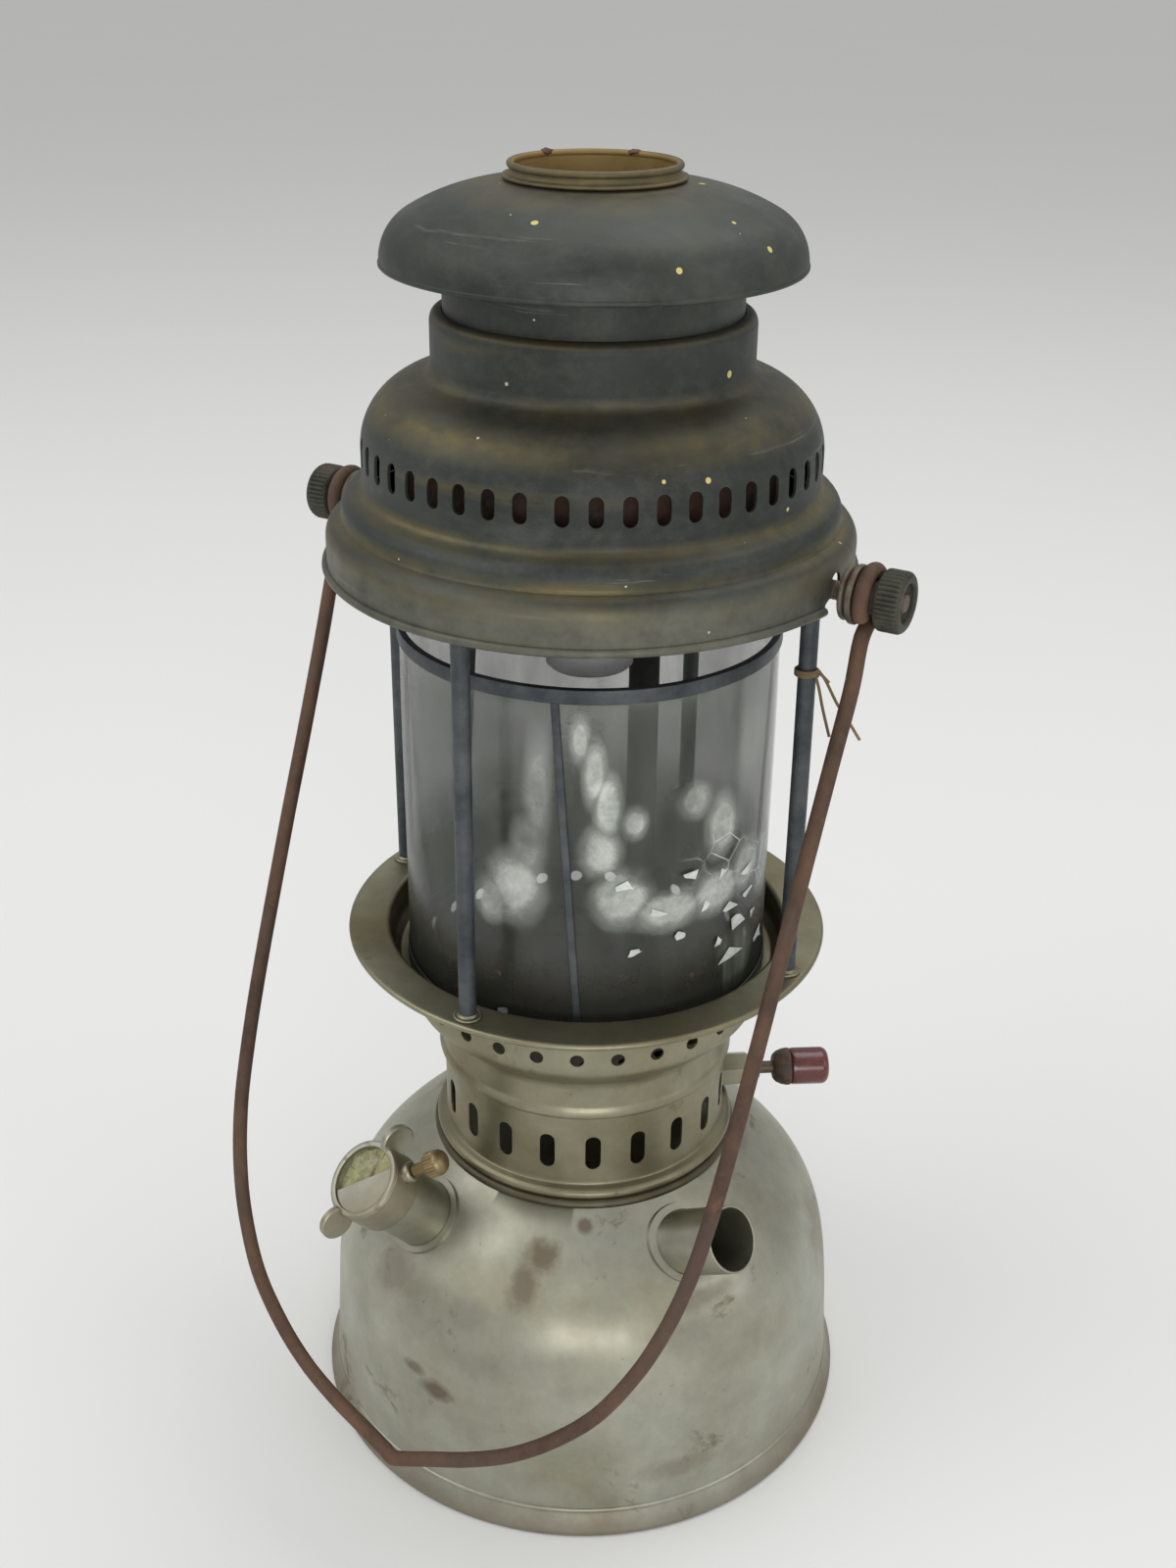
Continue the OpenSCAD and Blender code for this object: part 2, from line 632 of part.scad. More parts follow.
module burner_nozzle() {
  color("#b9b3a4") difference() {
    rotate_extrude() polygon([[0, nozzle_z], [nozzle_r - 0.8, nozzle_z], [nozzle_r, nozzle_z + 0.8],
      [nozzle_r, 276], [11.65, 276.1], [11.65, 284], [8.8, 284], [8.8, nozzle_z + 3], [0, nozzle_z + 3]]);
    for (i = [0:11]) rotate([0, 0, i * 30]) translate([6.2, 0, nozzle_z - 1]) cylinder(r = 0.9, h = 5);
    for (i = [0:5]) rotate([0, 0, i * 60]) translate([3, 0, nozzle_z - 1]) cylinder(r = 0.9, h = 5);
  }
}

module vaporizer_tube() {
  color("#26231f") at_vap() ring_hull(vap_r, 3, 132.2, 292);
}

module vaporizer_body() {
  color("#9a8450") difference() {
    union() {
      at_vap() translate([0, 0, spin_z]) cylinder(r = 6.6, h = 126 - spin_z);
      at_vap() translate([0, 0, 120]) cylinder(r = 4.9, h = 12);
      rotate([0, 0, vap_az]) translate([0, -5.5, 105]) cube([vap_off, 11, 7.6]);
      translate([0, 0, 101.2]) cylinder(r = 5.7, h = 1.3);
      translate([0, 0, 102]) cylinder(r = 4.4, h = 4);
      translate([0, 0, 105]) cylinder(r = 6.2, h = 7.6);
      at_spin() translate([0, 0, -5]) cylinder(r = 8.2, h = 14);
      at_spin() cylinder(r = 5, h = gland_t0 - 0.2);
    }
    at_spin() translate([0, 0, -2.8]) cylinder(r = 6.4, h = 9);
    at_spin() cylinder(r = spin_r + run_gap, h = 40);
    at_vap() translate([0, 0, spin_z]) cylinder(r = 1.4, h = 30);
    translate([0, 0, 100]) cylinder(r = 1.6, h = 8);
    translate([0, 0, 108]) rotate([0, 90, vap_az]) translate([0, 0, 0]) cylinder(r = 1.2, h = 10);
  }
}

module vaporizer_nut() {
  color("#9a8450") at_vap() difference() {
    translate([0, 0, 126.2]) hexagon_rod(14, 9.8);
    translate([0, 0, 126]) cylinder(r = 5, h = 6.2);
    translate([0, 0, 130]) cylinder(r = vap_r + 0.05, h = 8);
  }
}

module union_nut() {
  color("#9a8450") difference() {
    translate([0, 0, 97]) hexagon_rod(15.2, 7.4);
    translate([0, 0, 96]) cylinder(r = 6, h = 6.6);
    translate([0, 0, 96]) cylinder(r = 4.6, h = 10);
  }
}

module jet() {
  color("#9a8450") at_vap() difference() {
    union() {
      translate([0, 0, 288]) cylinder(r = 2.9, h = 5);
      translate([0, 0, 292.1]) hexagon_rod(7, 3);
      translate([0, 0, 295.1]) cylinder(r1 = 2.6, r2 = 1.1, h = 5.6);
    }
    translate([0, 0, 287]) cylinder(r = 1.5, h = 12);
    translate([0, 0, 298]) cylinder(r = 0.35, h = 4);
  }
}

module needle_rod() {
  color("#8c8468") {
    at_vap() translate([0, 0, spin_z + 1.6]) cylinder(r = 0.9, h = 291 - spin_z);
    at_vap() translate([0, 0, 292.4]) cylinder(r1 = 0.9, r2 = 0.25, h = 3.4);
    at_spin() translate([0, 0, -1]) difference() {
      translate([-2.3, -1.6, 0]) cube([4.6, 6, 2]);
      translate([0, crank_e - 0.5, -1]) {
        translate([-1.1, -0.5, 0]) cube([2.2, 1, 4]);
        translate([0, -0.5, 0]) cylinder(r = 1.1, h = 4);
        translate([0, 0.5, 0]) cylinder(r = 1.1, h = 4);
      }
    }
  }
}

module spirit_cup() {
  color("#8c8050") at_vap() rotate_extrude() polygon([[vap_r + 0.1, 136.1], [5.3, 136.1], [5.3, 141],
    [12, 141], [12.6, 141.8], [12.6, 149.6], [13, 150.2], [12.2, 150.2], [11.9, 149.6], [11.9, 142],
    [5.3, 141.8], [5.3, 150.4], [vap_r + 0.1, 150.4]]);
}

// ---------- fuel control ----------

module gland_nut() {
  color("#b8b29c") at_spin() difference() {
    union() {
      translate([0, 0, gland_t0]) hexagon_rod(10, 9);
      translate([0, 0, gland_t0 + 9]) cylinder(r = 4.7, h = 1);
      translate([0, 0, gland_t0 + 10]) cylinder(r1 = 4.2, r2 = 3.4, h = gland_t1 - gland_t0 - 10);
    }
    translate([0, 0, gland_t0 - 1]) cylinder(r = spin_r + run_gap, h = 20);
  }
}

module spindle() {
  color("#a8a088") at_spin() {
    translate([0, 0, 4.4]) cylinder(r = spin_r, h = knob_t0 + 5.8 - 4.4);
    translate([0, 0, 2]) cylinder(r = 3.6, h = 2.6);
    translate([0, crank_e, -2.2]) cylinder(r = 0.8, h = 4.6);
  }
}

module control_knob() {
  color("#3a1210") at_spin() translate([0, 0, knob_t0]) difference() {
    rotate_extrude() polygon(concat([[0, 0], [4, 0], [4.9, 0.9], [5.7, 2.4], [knob_r, 4],
      [knob_r, knob_l - 2.2]], arcp([knob_r - 2.2, knob_l - 2.2], 2.2, 0, 90, 6), [[0, knob_l]]));
    translate([0, 0, -1]) cylinder(r = spin_r + 0.05, h = 7.2);
  }
}

// ---------- globe ----------

module globe_sheet() {
  color("#b8c0a8", 0.5) ring_hull(globe_r, globe_r - globe_t, globe_z + 0.9, globe_top - 0.9);
}

module globe_ring(z0, h, s) {
  r0 = globe_r - globe_t;
  z1 = z0 + s * h;
  p = [[r0 - 0.7, z0], [globe_r + 0.7, z0], [globe_r + 0.7, z1], [globe_r + 0.06, z1],
    [globe_r + 0.06, z0 + s * 0.8], [r0 - 0.06, z0 + s * 0.8], [r0 - 0.06, z1], [r0 - 0.7, z1]];
  color("#3e4444") rotate_extrude() polygon(s > 0 ? p : backward(p));
}

module globe_top_ring() {
  globe_ring(globe_top, globe_ring_h, -1);
}

module globe_bottom_ring() {
  globe_ring(globe_z, globe_ring_h, 1);
}

module globe_strips() {
  z0 = globe_z + globe_ring_h + 0.1;
  z1 = globe_top - globe_ring_h - 0.1;
  color("#3e4444") intersection() {
    ring_hull(globe_r + 0.7, globe_r + 0.06, z0, z1);
    for (a = [-66.5, 42, 163]) rotate([0, 0, a]) translate([globe_r, 0, (z0 + z1) / 2]) rotate([3.9, 0, 0])
      cube([6, 2.4, 130], center = true);
  }
}

// ---------- hood ----------

module hood_shell() {
  b = hood_r;
  q = [b - 5.6, 296.4];
  u = [dome_r + 0.9, 304];
  w = [dome_r - 19, dome_z];
  p = concat([[b, 287.6], [b, 296.4]], arcp(q, 5.6, 0, 75, 6), [[b - 4.35, 302.4], [b - 4.55, 303.2]],
    arcp(u, 5, 5, 70, 5), [[dome_r + 1.2, 309.4], [dome_r + 0.3, 310.2], [dome_r, 311.2],
    [dome_r, dome_z]], arcp(w, 19, 0, 82, 10), [[upper_r + 1.7, dome_z + 19.4],
    [upper_r + 0.6, dome_z + 20.4], [upper_r, dome_z + 22.1], [upper_r, 354.4], [upper_r - 0.4, 355.6],
    [upper_r - 1.3, 356.4], [hood_neck_r + 0.9, 356.6]]);
  color("#4a4c42") difference() {
    union() {
      rotate_extrude() polygon(sheet(p, hood_t));
      rotate_extrude() translate([b + 0.1, 288.1]) circle(r = 1.3);
      ring_hull(upper_r - 0.9, hood_neck_r + 0.12, 355.8, 356.6);
    }
    for (i = [0:hood_slots - 1]) slot_cut(-67.2 + 7.617 * i, dome_r, dome_z, hood_slot_w, hood_slot_h, 9);
    for (a = [0, 180]) rotate([0, 0, a]) {
      translate([b - 13.5, -6.5, 280]) cube([20, 13, 9.6]);
      translate([b - 13.5, -3.2, 285]) cube([20, 6.4, 8.4]);
      translate([b - 13.5, 0, 293.4]) rotate([0, 90, 0]) cylinder(r = 3.2, h = 20);
    }
  }
}

module hood_neck() {
  color("#4a4c42") rotate_extrude() polygon(sheet([[hood_neck_r + 2.4, 351.2], [hood_neck_r + 1, 351.4],
    [hood_neck_r, 352.4], [hood_neck_r, 371], [hood_neck_r + 0.5, 372.4]], 0.7));
}

module hood_cap() {
  q = [hood_cap_r - 13.8, 369.4];
  e = q + 13.8 * [cos(60), sin(60)];
  w = e - 55 * [cos(60), sin(60)];
  p = concat([[hood_cap_r, 368.2], [hood_cap_r, 369.4]], arcp(q, 13.8, 0, 60, 8), arcp(w, 55, 60, 84, 5),
    [[chimney_r + 3, 388.9], [chimney_r + 0.25, 389.4]]);
  color("#4a4c42") rotate_extrude() {
    polygon(sheet(p, hood_t));
    translate([hood_cap_r - 0.5, 368.9]) circle(r = 0.9);
  }
}

module chimney_ring() {
  color("#6a5f48") {
    rotate_extrude() {
      polygon([[chimney_r - 0.8, 386], [chimney_r, 386], [chimney_r, 389.8], [chimney_r + 2, 389.7],
        [chimney_r + 2.1, 390.3], [chimney_r, 390.6], [chimney_r, 392.8], [chimney_r - 0.8, 392.8]]);
      translate([chimney_r - 0.1, 392.9]) circle(r = 0.95);
    }
    for (a = [157, 91]) rotate([0, 0, a]) translate([chimney_r - 1.5, -1.6, 392.6]) cube([2.6, 3.2, 2]);
  }
}

module cap_brackets() {
  color("#5a5448") for (a = [30, 150, 270]) rotate([0, 0, a]) translate([hood_neck_r - 1.75, -4, 358])
    cube([0.8, 8, 26.85]);
}

module inner_chimney() {
  color("#7a6038") ring_hull(chimney_r - 0.95, chimney_r - 1.6, 346, 391.6);
}

tank_shell();
tank_base();
tank_collar();
tank_socket();
pickup_tube();
pump_tube();
pump_flange();
check_valve();
filler_neck();
filler_flange();
cap_gasket();
filler_cap();
gauge_dial();
gauge_pointer();
gauge_glass();
gauge_cover();
gauge_bezel();
vent_screw();
vent_drum();
gallery();
air_plate();
frame_posts();
frame_ring();
inner_casing();
burner_plate();
mixing_chamber();
mixing_tube();
burner_nozzle();
vaporizer_tube();
vaporizer_body();
vaporizer_nut();
union_nut();
jet();
needle_rod();
spirit_cup();
gland_nut();
spindle();
control_knob();
globe_sheet();
globe_top_ring();
globe_bottom_ring();
globe_strips();
hood_shell();
hood_neck();
hood_cap();
chimney_ring();
cap_brackets();
inner_chimney();
bail();
bail_studs();
bail_bushings();
bail_nut_right();
bail_nut_left();
tie_wire();
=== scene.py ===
from functools import partialmethod
from math import atan, cos, degrees, exp, pi, radians, sin, sqrt, tan

import bmesh
import bpy
import numpy as np
from mathutils import Matrix, Vector


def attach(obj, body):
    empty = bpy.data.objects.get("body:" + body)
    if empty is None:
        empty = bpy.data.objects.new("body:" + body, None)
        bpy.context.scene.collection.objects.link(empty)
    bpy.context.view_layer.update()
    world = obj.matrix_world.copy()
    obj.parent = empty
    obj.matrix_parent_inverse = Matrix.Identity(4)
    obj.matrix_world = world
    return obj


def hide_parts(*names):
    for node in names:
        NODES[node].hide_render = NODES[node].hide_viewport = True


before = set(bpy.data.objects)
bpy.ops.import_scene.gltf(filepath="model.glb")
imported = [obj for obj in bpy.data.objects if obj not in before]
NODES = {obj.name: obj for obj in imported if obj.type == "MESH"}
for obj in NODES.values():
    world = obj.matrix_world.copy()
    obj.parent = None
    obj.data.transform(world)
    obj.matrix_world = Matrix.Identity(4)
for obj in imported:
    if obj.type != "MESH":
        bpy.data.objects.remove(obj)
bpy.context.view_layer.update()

S = 0.001  # every length below is in millimetres, meshes are in metres
PIVOT_Z = 291.7
BAIL_LEAN = 24.3
BAIL_SIDE_X = 83.4  # half the bail's width at its eyes
NUT_X = 86.4
PUMP_AZ = -28.5
FILL_AZ = -113.3
DRUM_R = 44.5
CONE = 52  # slope of the tank's last arc, in degrees
COLLAR_Z = 172.4  # top of the gallery's collar, where the posts stand
POST_R = 67.2
MICA_R = 54.4
STRIP_R = 54.8
GLOBE_Z0, GLOBE_Z1 = 161.1, 270.5
HOOD_SLOTS = 47
SKIRT_HOLES = 29
DRUM_SLOTS = 20
QUARTERS = (0, 90, 180, 270)


# ---------- outlines ----------

def arc(cx, cz, r, a0, a1, n=10):
    return [(cx + r * cos(radians(a0 + (a1 - a0) * i / n)), cz + r * sin(radians(a0 + (a1 - a0) * i / n)))
        for i in range(n + 1)]


def soften(pts, r=0.8, n=4):
    """The path with each inner corner turned into a small curve."""
    out = [tuple(pts[0])]
    for a, b, c in zip(pts, pts[1:], pts[2:]):
        a, b, c = (np.array(v, float) for v in (a, b, c))
        u, v = a - b, c - b
        lu, lv = np.linalg.norm(u), np.linalg.norm(v)
        if lu < 1e-6 or lv < 1e-6:
            continue
        d = min(r, 0.45 * lu, 0.45 * lv)
        p, q = b + u / lu * d, b + v / lv * d
        for i in range(n + 1):
            t = i / n
            out.append(tuple((1 - t) ** 2 * p + 2 * t * (1 - t) * b + t * t * q))
    out.append(tuple(pts[-1]))
    return out


def sheet(path, t):
    """Closed outline of a sheet of thickness t to the left of the path."""
    p = np.array(path, float)
    d = np.empty_like(p)
    d[1:-1] = p[2:] - p[:-2]
    d[0], d[-1] = p[1] - p[0], p[-1] - p[-2]
    d /= np.linalg.norm(d, axis=1)[:, None]
    q = p + t * np.stack([-d[:, 1], d[:, 0]], 1)
    return [tuple(v) for v in p] + [tuple(v) for v in q[::-1]]


def spline(pts, per=8):
    """Smooth curve through the points."""
    p = np.array(pts, float)
    p = np.vstack([2 * p[0] - p[1], p, 2 * p[-1] - p[-2]])
    out = []
    for i in range(1, len(p) - 2):
        a, b, c, d = p[i - 1], p[i], p[i + 1], p[i + 2]
        for k in range(per):
            t = k / per
            out.append(0.5 * (2 * b + (c - a) * t + (2 * a - 5 * b + 4 * c - d) * t * t
                + (3 * b - a - 3 * c + d) * t ** 3))
    out.append(p[-2])
    return np.array(out)


# ---------- meshes ----------

def to_object(name, verts, faces, at=None, angle=38):
    """Verts in millimetres; at is a 4x4 matrix in millimetres."""
    v = np.asarray(verts, float)
    if at is not None:
        m = np.array(at)
        v = v @ m[:3, :3].T + m[:3, 3]
    mesh = bpy.data.meshes.new(name)
    mesh.from_pydata((v * S).tolist(), [], faces)
    bm = bmesh.new()
    bm.from_mesh(mesh)
    bmesh.ops.remove_doubles(bm, verts=bm.verts, dist=2e-6)
    bmesh.ops.recalc_face_normals(bm, faces=bm.faces)
    bm.to_mesh(mesh)
    bm.free()
    ob = bpy.data.objects.new(name, mesh)
    bpy.context.scene.collection.objects.link(ob)
    shade(ob, angle)
    return ob


def shade(ob, angle=38):
    ob.data.shade_smooth()
    ob.data.set_sharp_from_angle(angle=radians(angle))


def lathe_data(loop, seg=192, warp=None):
    p = np.array(loop, float)
    n = len(p)
    a = np.arange(seg) * 2 * pi / seg
    A = np.repeat(a[:, None], n, 1)
    R = np.repeat(p[None, :, 0], seg, 0)
    Z = np.repeat(p[None, :, 1], seg, 0)
    if warp:
        dr, dz = warp(A, R, Z)
        R, Z = R + dr, Z + dz
    verts = np.stack([R * np.cos(A), R * np.sin(A), Z], -1).reshape(-1, 3)
    faces = []
    for i in range(seg):
        k = (i + 1) % seg
        for j in range(n):
            l = (j + 1) % n
            faces.append((i * n + j, k * n + j, k * n + l, i * n + l))
    return verts, faces


def lathe(name, loop, seg=192, warp=None, at=None, angle=38):
    return to_object(name, *lathe_data(loop, seg, warp), at=at, angle=angle)


def tube_data(path, r, seg=14, closed=False):
    """r is one radius or one for each point."""
    p = np.array(path, float)
    n = len(p)
    rr = np.full(n, r) if np.isscalar(r) else np.array(r, float)
    t = np.roll(p, -1, 0) - np.roll(p, 1, 0) if closed else np.gradient(p, axis=0)
    t /= np.linalg.norm(t, axis=1)[:, None]
    u = np.cross(t[0], [0.31, 0.52, 0.79])
    u /= np.linalg.norm(u)
    ring = np.arange(seg) * 2 * pi / seg
    verts = []
    for i in range(n):
        u = u - t[i] * (u @ t[i])
        u /= np.linalg.norm(u)
        w = np.cross(t[i], u)
        verts.append(p[i] + rr[i] * (np.cos(ring)[:, None] * u + np.sin(ring)[:, None] * w))
    verts = np.concatenate(verts)
    faces = []
    for i in range(n if closed else n - 1):
        k = (i + 1) % n
        for j in range(seg):
            l = (j + 1) % seg
            faces.append((i * seg + j, i * seg + l, k * seg + l, k * seg + j))
    if not closed:
        faces.append(tuple(range(seg))[::-1])
        faces.append(tuple((n - 1) * seg + j for j in range(seg)))
    return verts, faces


def tube(name, path, r, seg=14, closed=False, at=None):
    return to_object(name, *tube_data(path, r, seg, closed), at=at)


def prism_data(outline, z0, z1, bevel=0.0):
    """A straight prism of an outline of (x, y), with an optional small bevel at both ends."""
    o = np.array(outline, float)
    n = len(o)
    if bevel:
        c = o.mean(0)
        rad = np.linalg.norm(o - c, axis=1)[:, None]
        small = c + (o - c) * (1 - bevel / rad)
        rings = [(small, z0), (o, z0 + bevel), (o, z1 - bevel), (small, z1)]
    else:
        rings = [(o, z0), (o, z1)]
    verts = np.concatenate([np.column_stack([q, np.full(n, z)]) for q, z in rings])
    faces = [tuple(range(n))[::-1], tuple((len(rings) - 1) * n + j for j in range(n))]
    for i in range(len(rings) - 1):
        for j in range(n):
            l = (j + 1) % n
            faces.append((i * n + j, i * n + l, (i + 1) * n + l, (i + 1) * n + j))
    return verts, faces


def merge(name, parts, at=None, angle=38):
    """One object from several (verts, faces)."""
    verts, faces, base = [], [], 0
    for v, f in parts:
        verts.append(np.asarray(v, float))
        faces += [tuple(i + base for i in q) for q in f]
        base += len(v)
    return to_object(name, np.concatenate(verts), faces, at=at, angle=angle)


def moved(data, m):
    v, f = data
    m = np.array(m)
    return np.asarray(v) @ m[:3, :3].T + m[:3, 3], f


def cut(ob, parts, operation="DIFFERENCE", angle=38):
    cutter = merge("cutter", parts)
    mod = ob.modifiers.new("cut", "BOOLEAN")
    mod.operation, mod.solver, mod.object = operation, "EXACT", cutter
    dg = bpy.context.evaluated_depsgraph_get()
    new = bpy.data.meshes.new_from_object(ob.evaluated_get(dg))
    ob.modifiers.clear()
    ob.data = new
    bpy.data.objects.remove(cutter)
    shade(ob, angle)
    return ob


def put_at(ob, at):
    """Moves a finished mesh, in metres, by a matrix in millimetres."""
    for m in (Matrix.Scale(1000, 4), at, Matrix.Scale(S, 4)):
        ob.data.transform(m)


def stadium(w, h, n=8):
    k = (h - w) / 2
    top = [(w / 2 * cos(pi * i / n), k + w / 2 * sin(pi * i / n)) for i in range(n + 1)]
    return top + [(-x, -y) for x, y in top]


def circle(r, n=32, cx=0.0, cy=0.0):
    return [(cx + r * cos(2 * pi * i / n), cy + r * sin(2 * pi * i / n)) for i in range(n)]


def rod_data(r, z0, z1, n):
    return prism_data(circle(r, n), z0, z1)


def rot(axis, deg):
    return Matrix.Rotation(radians(deg), 4, axis)


def shift(x, y, z):
    return Matrix.Translation((x, y, z))


def radial(a, z, r=0):
    """Frame whose local Z points outward at bearing a, and local Y points up."""
    return rot("Z", a) @ shift(r, 0, z) @ Matrix(((0, 0, 1, 0), (1, 0, 0, 0), (0, 1, 0, 0), (0, 0, 0, 1)))


# ---------- places taken from the construction ----------

def unit(deg):
    return np.array([cos(radians(deg)), sin(radians(deg))])


lean = atan((83.9 - 82) / (42.5 - 9))
C1 = np.array([82 - 75 * cos(lean), 42.5 - 75 * sin(lean)])
C2 = C1 + 33 * unit(18)
C3 = C2 - 68 * unit(40)
E3 = C3 + 110 * unit(CONE)
TOP_Z = E3[1] + (E3[0] - 48.2) / sin(radians(CONE)) * cos(radians(CONE))


def tank_z(r):
    return C3[1] + sqrt(110 ** 2 - (r - C3[0]) ** 2)


def tank_path(o=0.0):
    e = C3 + (110 + o) * unit(CONE)
    t = (TOP_Z + o - e[1]) / cos(radians(CONE))
    d = degrees(lean)
    wall = [(83.9 + o + (82 - 83.9) * i / 8, 9 + 33.5 * i / 8) for i in range(8)]
    return (wall + arc(*C1, 75 + o, d, 18, 12) + arc(*C2, 42 + o, 18, 40, 14)[1:]
        + arc(*C3, 110 + o, 40, CONE, 10)[1:] + [(e[0] - t * sin(radians(CONE)), TOP_Z + o)])


def bearing(r, a, z):
    return (r * cos(radians(a)), r * sin(radians(a)), z)


AT_PUMP = shift(*bearing(60.5, PUMP_AZ, tank_z(60.5))) @ rot("Z", -8.9) @ rot("Y", 58.6)
AT_FILL = shift(*bearing(62, FILL_AZ, tank_z(62))) @ rot("Z", FILL_AZ) @ rot("Y", 42)
VENT_ON_CAP = shift(0, 0, 26) @ rot("Z", 140) @ rot("Y", 90)
AT_VENT = AT_FILL @ VENT_ON_CAP
VAP = bearing(18.05, 55.6, 0)
AT_SPIN = shift(VAP[0], VAP[1], 106.6) @ rot("Z", 34.3) @ rot("Y", 90)
AT_BAIL = shift(0, 0, PIVOT_Z) @ rot("X", -BAIL_LEAN)


# ---------- camera ----------

CAM_AZ, CAM_PITCH, CAM_ROLL = radians(29.3), radians(26.382), radians(0.692)
CAM_OUT, CAM_UP = 483.4 * S, 456.0 * S
FOCAL_PX, PHOTO_H_PX, SENSOR_MM = 1845.76, 1600, 36


def make_camera():
    az, pitch, roll = CAM_AZ, CAM_PITCH, CAM_ROLL
    right = Vector((cos(az), sin(az), 0))
    fwd = Vector((-sin(az) * cos(pitch), cos(az) * cos(pitch), -sin(pitch)))
    up = right.cross(fwd)
    x = right * cos(roll) + up * sin(roll)
    y = up * cos(roll) - right * sin(roll)
    data = bpy.data.cameras.new("camera")
    data.sensor_width = SENSOR_MM
    data.sensor_fit = "AUTO"
    data.lens = FOCAL_PX / PHOTO_H_PX * SENSOR_MM
    data.clip_start, data.clip_end = 0.01, 100
    cam = bpy.data.objects.new("camera", data)
    bpy.context.scene.collection.objects.link(cam)
    m = Matrix((x, y, -fwd)).transposed().to_4x4()
    m.translation = Vector((CAM_OUT * sin(az), -CAM_OUT * cos(az), CAM_UP))
    cam.matrix_world = m
    bpy.context.scene.camera = cam


make_camera()


# ---------- material nodes ----------

class Look:
    """A small writer of shader nodes for one material."""

    def __init__(self, name):
        self.mat = bpy.data.materials.new(name)
        self.mat.use_nodes = True
        self.tree = self.mat.node_tree
        self.tree.nodes.clear()
        self.out = self.tree.nodes.new("ShaderNodeOutputMaterial")
        self.bsdf = self.tree.nodes.new("ShaderNodeBsdfPrincipled")
        self.tree.links.new(self.bsdf.outputs[0], self.out.inputs[0])
        self.co = self.tree.nodes.new("ShaderNodeTexCoord").outputs["Object"]

    def put(self, socket, value):
        if isinstance(value, bpy.types.NodeSocket):
            self.tree.links.new(value, socket)
        elif isinstance(value, tuple) and len(value) == 3 and socket.type == "RGBA":
            socket.default_value = (*value, 1)
        else:
            socket.default_value = value

    def set(self, **values):
        for k, v in values.items():
            self.put(self.bsdf.inputs[SOCKETS[k]], v)

    def node(self, kind, inputs=(), **props):
        n = self.tree.nodes.new(kind)
        for k, v in props.items():
            setattr(n, k, v)
        for k, v in dict(inputs).items():
            self.put(n.inputs[k], v)
        return n

    def place(self, stretch=(1, 1, 1), seed=0.0):
        n = self.node("ShaderNodeMapping")
        self.put(n.inputs["Vector"], self.co)
        n.inputs["Scale"].default_value = stretch
        n.inputs["Location"].default_value = (seed * 1.37, seed * 0.71, seed * 2.13)
        return n.outputs[0]

    def noise(self, scale, detail=6.0, rough=0.7, stretch=(1, 1, 1), seed=0.0, warp=0.0):
        n = self.node("ShaderNodeTexNoise", {"Vector": self.place(stretch, seed), "Scale": scale,
            "Detail": detail, "Roughness": rough, "Distortion": warp})
        return n.outputs[0]

    def cells(self, scale, seed=0.0, stretch=(1, 1, 1), feature="F1"):
        return self.node("ShaderNodeTexVoronoi", {"Vector": self.place(stretch, seed), "Scale": scale},
            feature=feature)

    def ramp(self, fac, *stops):
        n = self.node("ShaderNodeValToRGB", {"Fac": fac})
        e = n.color_ramp.elements
        while len(e) < len(stops):
            e.new(0.5)
        for el, (pos, c) in zip(e, stops):
            el.position = pos
            el.color = (c, c, c, 1) if not isinstance(c, tuple) else (*c, 1)
        return n.outputs[0]

    def mix(self, fac, a, b, blend="MIX"):
        n = self.node("ShaderNodeMix", data_type="RGBA", blend_type=blend)
        self.put(n.inputs[0], fac)
        self.put(n.inputs[6], a)
        self.put(n.inputs[7], b)
        return n.outputs[2]

    def tone(self, fac, low, high, top, a, b):
        """Colour b over a, from none where fac is at low to a share of top where it is at high."""
        return self.mix(self.ramp(fac, (low, 0.0), (high, top)), a, b)

    def calc(self, op, a, b=0.0, c=0.0, clamp=False):
        n = self.node("ShaderNodeMath", operation=op, use_clamp=clamp)
        for i, v in enumerate((a, b, c)):
            self.put(n.inputs[i], v)
        return n.outputs[0]

    add = partialmethod(calc, "ADD")
    sub = partialmethod(calc, "SUBTRACT")
    mul = partialmethod(calc, "MULTIPLY")
    div = partialmethod(calc, "DIVIDE")
    most = partialmethod(calc, "MAXIMUM")

    def line(self, x, base, gain):
        return self.add(base, self.mul(x, gain))

    def bump(self, height, strength, depth):
        n = self.node("ShaderNodeBump", {"Height": height, "Strength": strength, "Distance": depth})
        return n.outputs[0]

    def axes(self):
        n = self.node("ShaderNodeSeparateXYZ", {"Vector": self.co})
        return n.outputs[0], n.outputs[1], n.outputs[2]

    def bearing_height(self):
        """Bearing round the lantern in radians, and height in metres."""
        x, y, z = self.axes()
        return self.calc("ARCTAN2", y, x), z

    def blob(self, az, z, wa, wz, soft=0.5, rough=0.0, seed=0.0, scale=60.0):
        """1 inside an ellipse at a bearing (degrees) and height (mm), 0 outside, with a ragged edge."""
        a, h = self.bearing_height()
        da = self.sub(a, radians(az))
        da = self.calc("WRAP", da, pi, -pi)
        u = self.div(da, radians(wa))
        v = self.div(self.sub(h, z * S), wz * S)
        d = self.calc("SQRT", self.add(self.mul(u, u), self.mul(v, v)))
        if rough:
            d = self.add(d, self.mul(self.sub(self.noise(scale, seed=seed), 0.5), rough))
        return self.div(self.sub(1.0, d), soft, clamp=True)

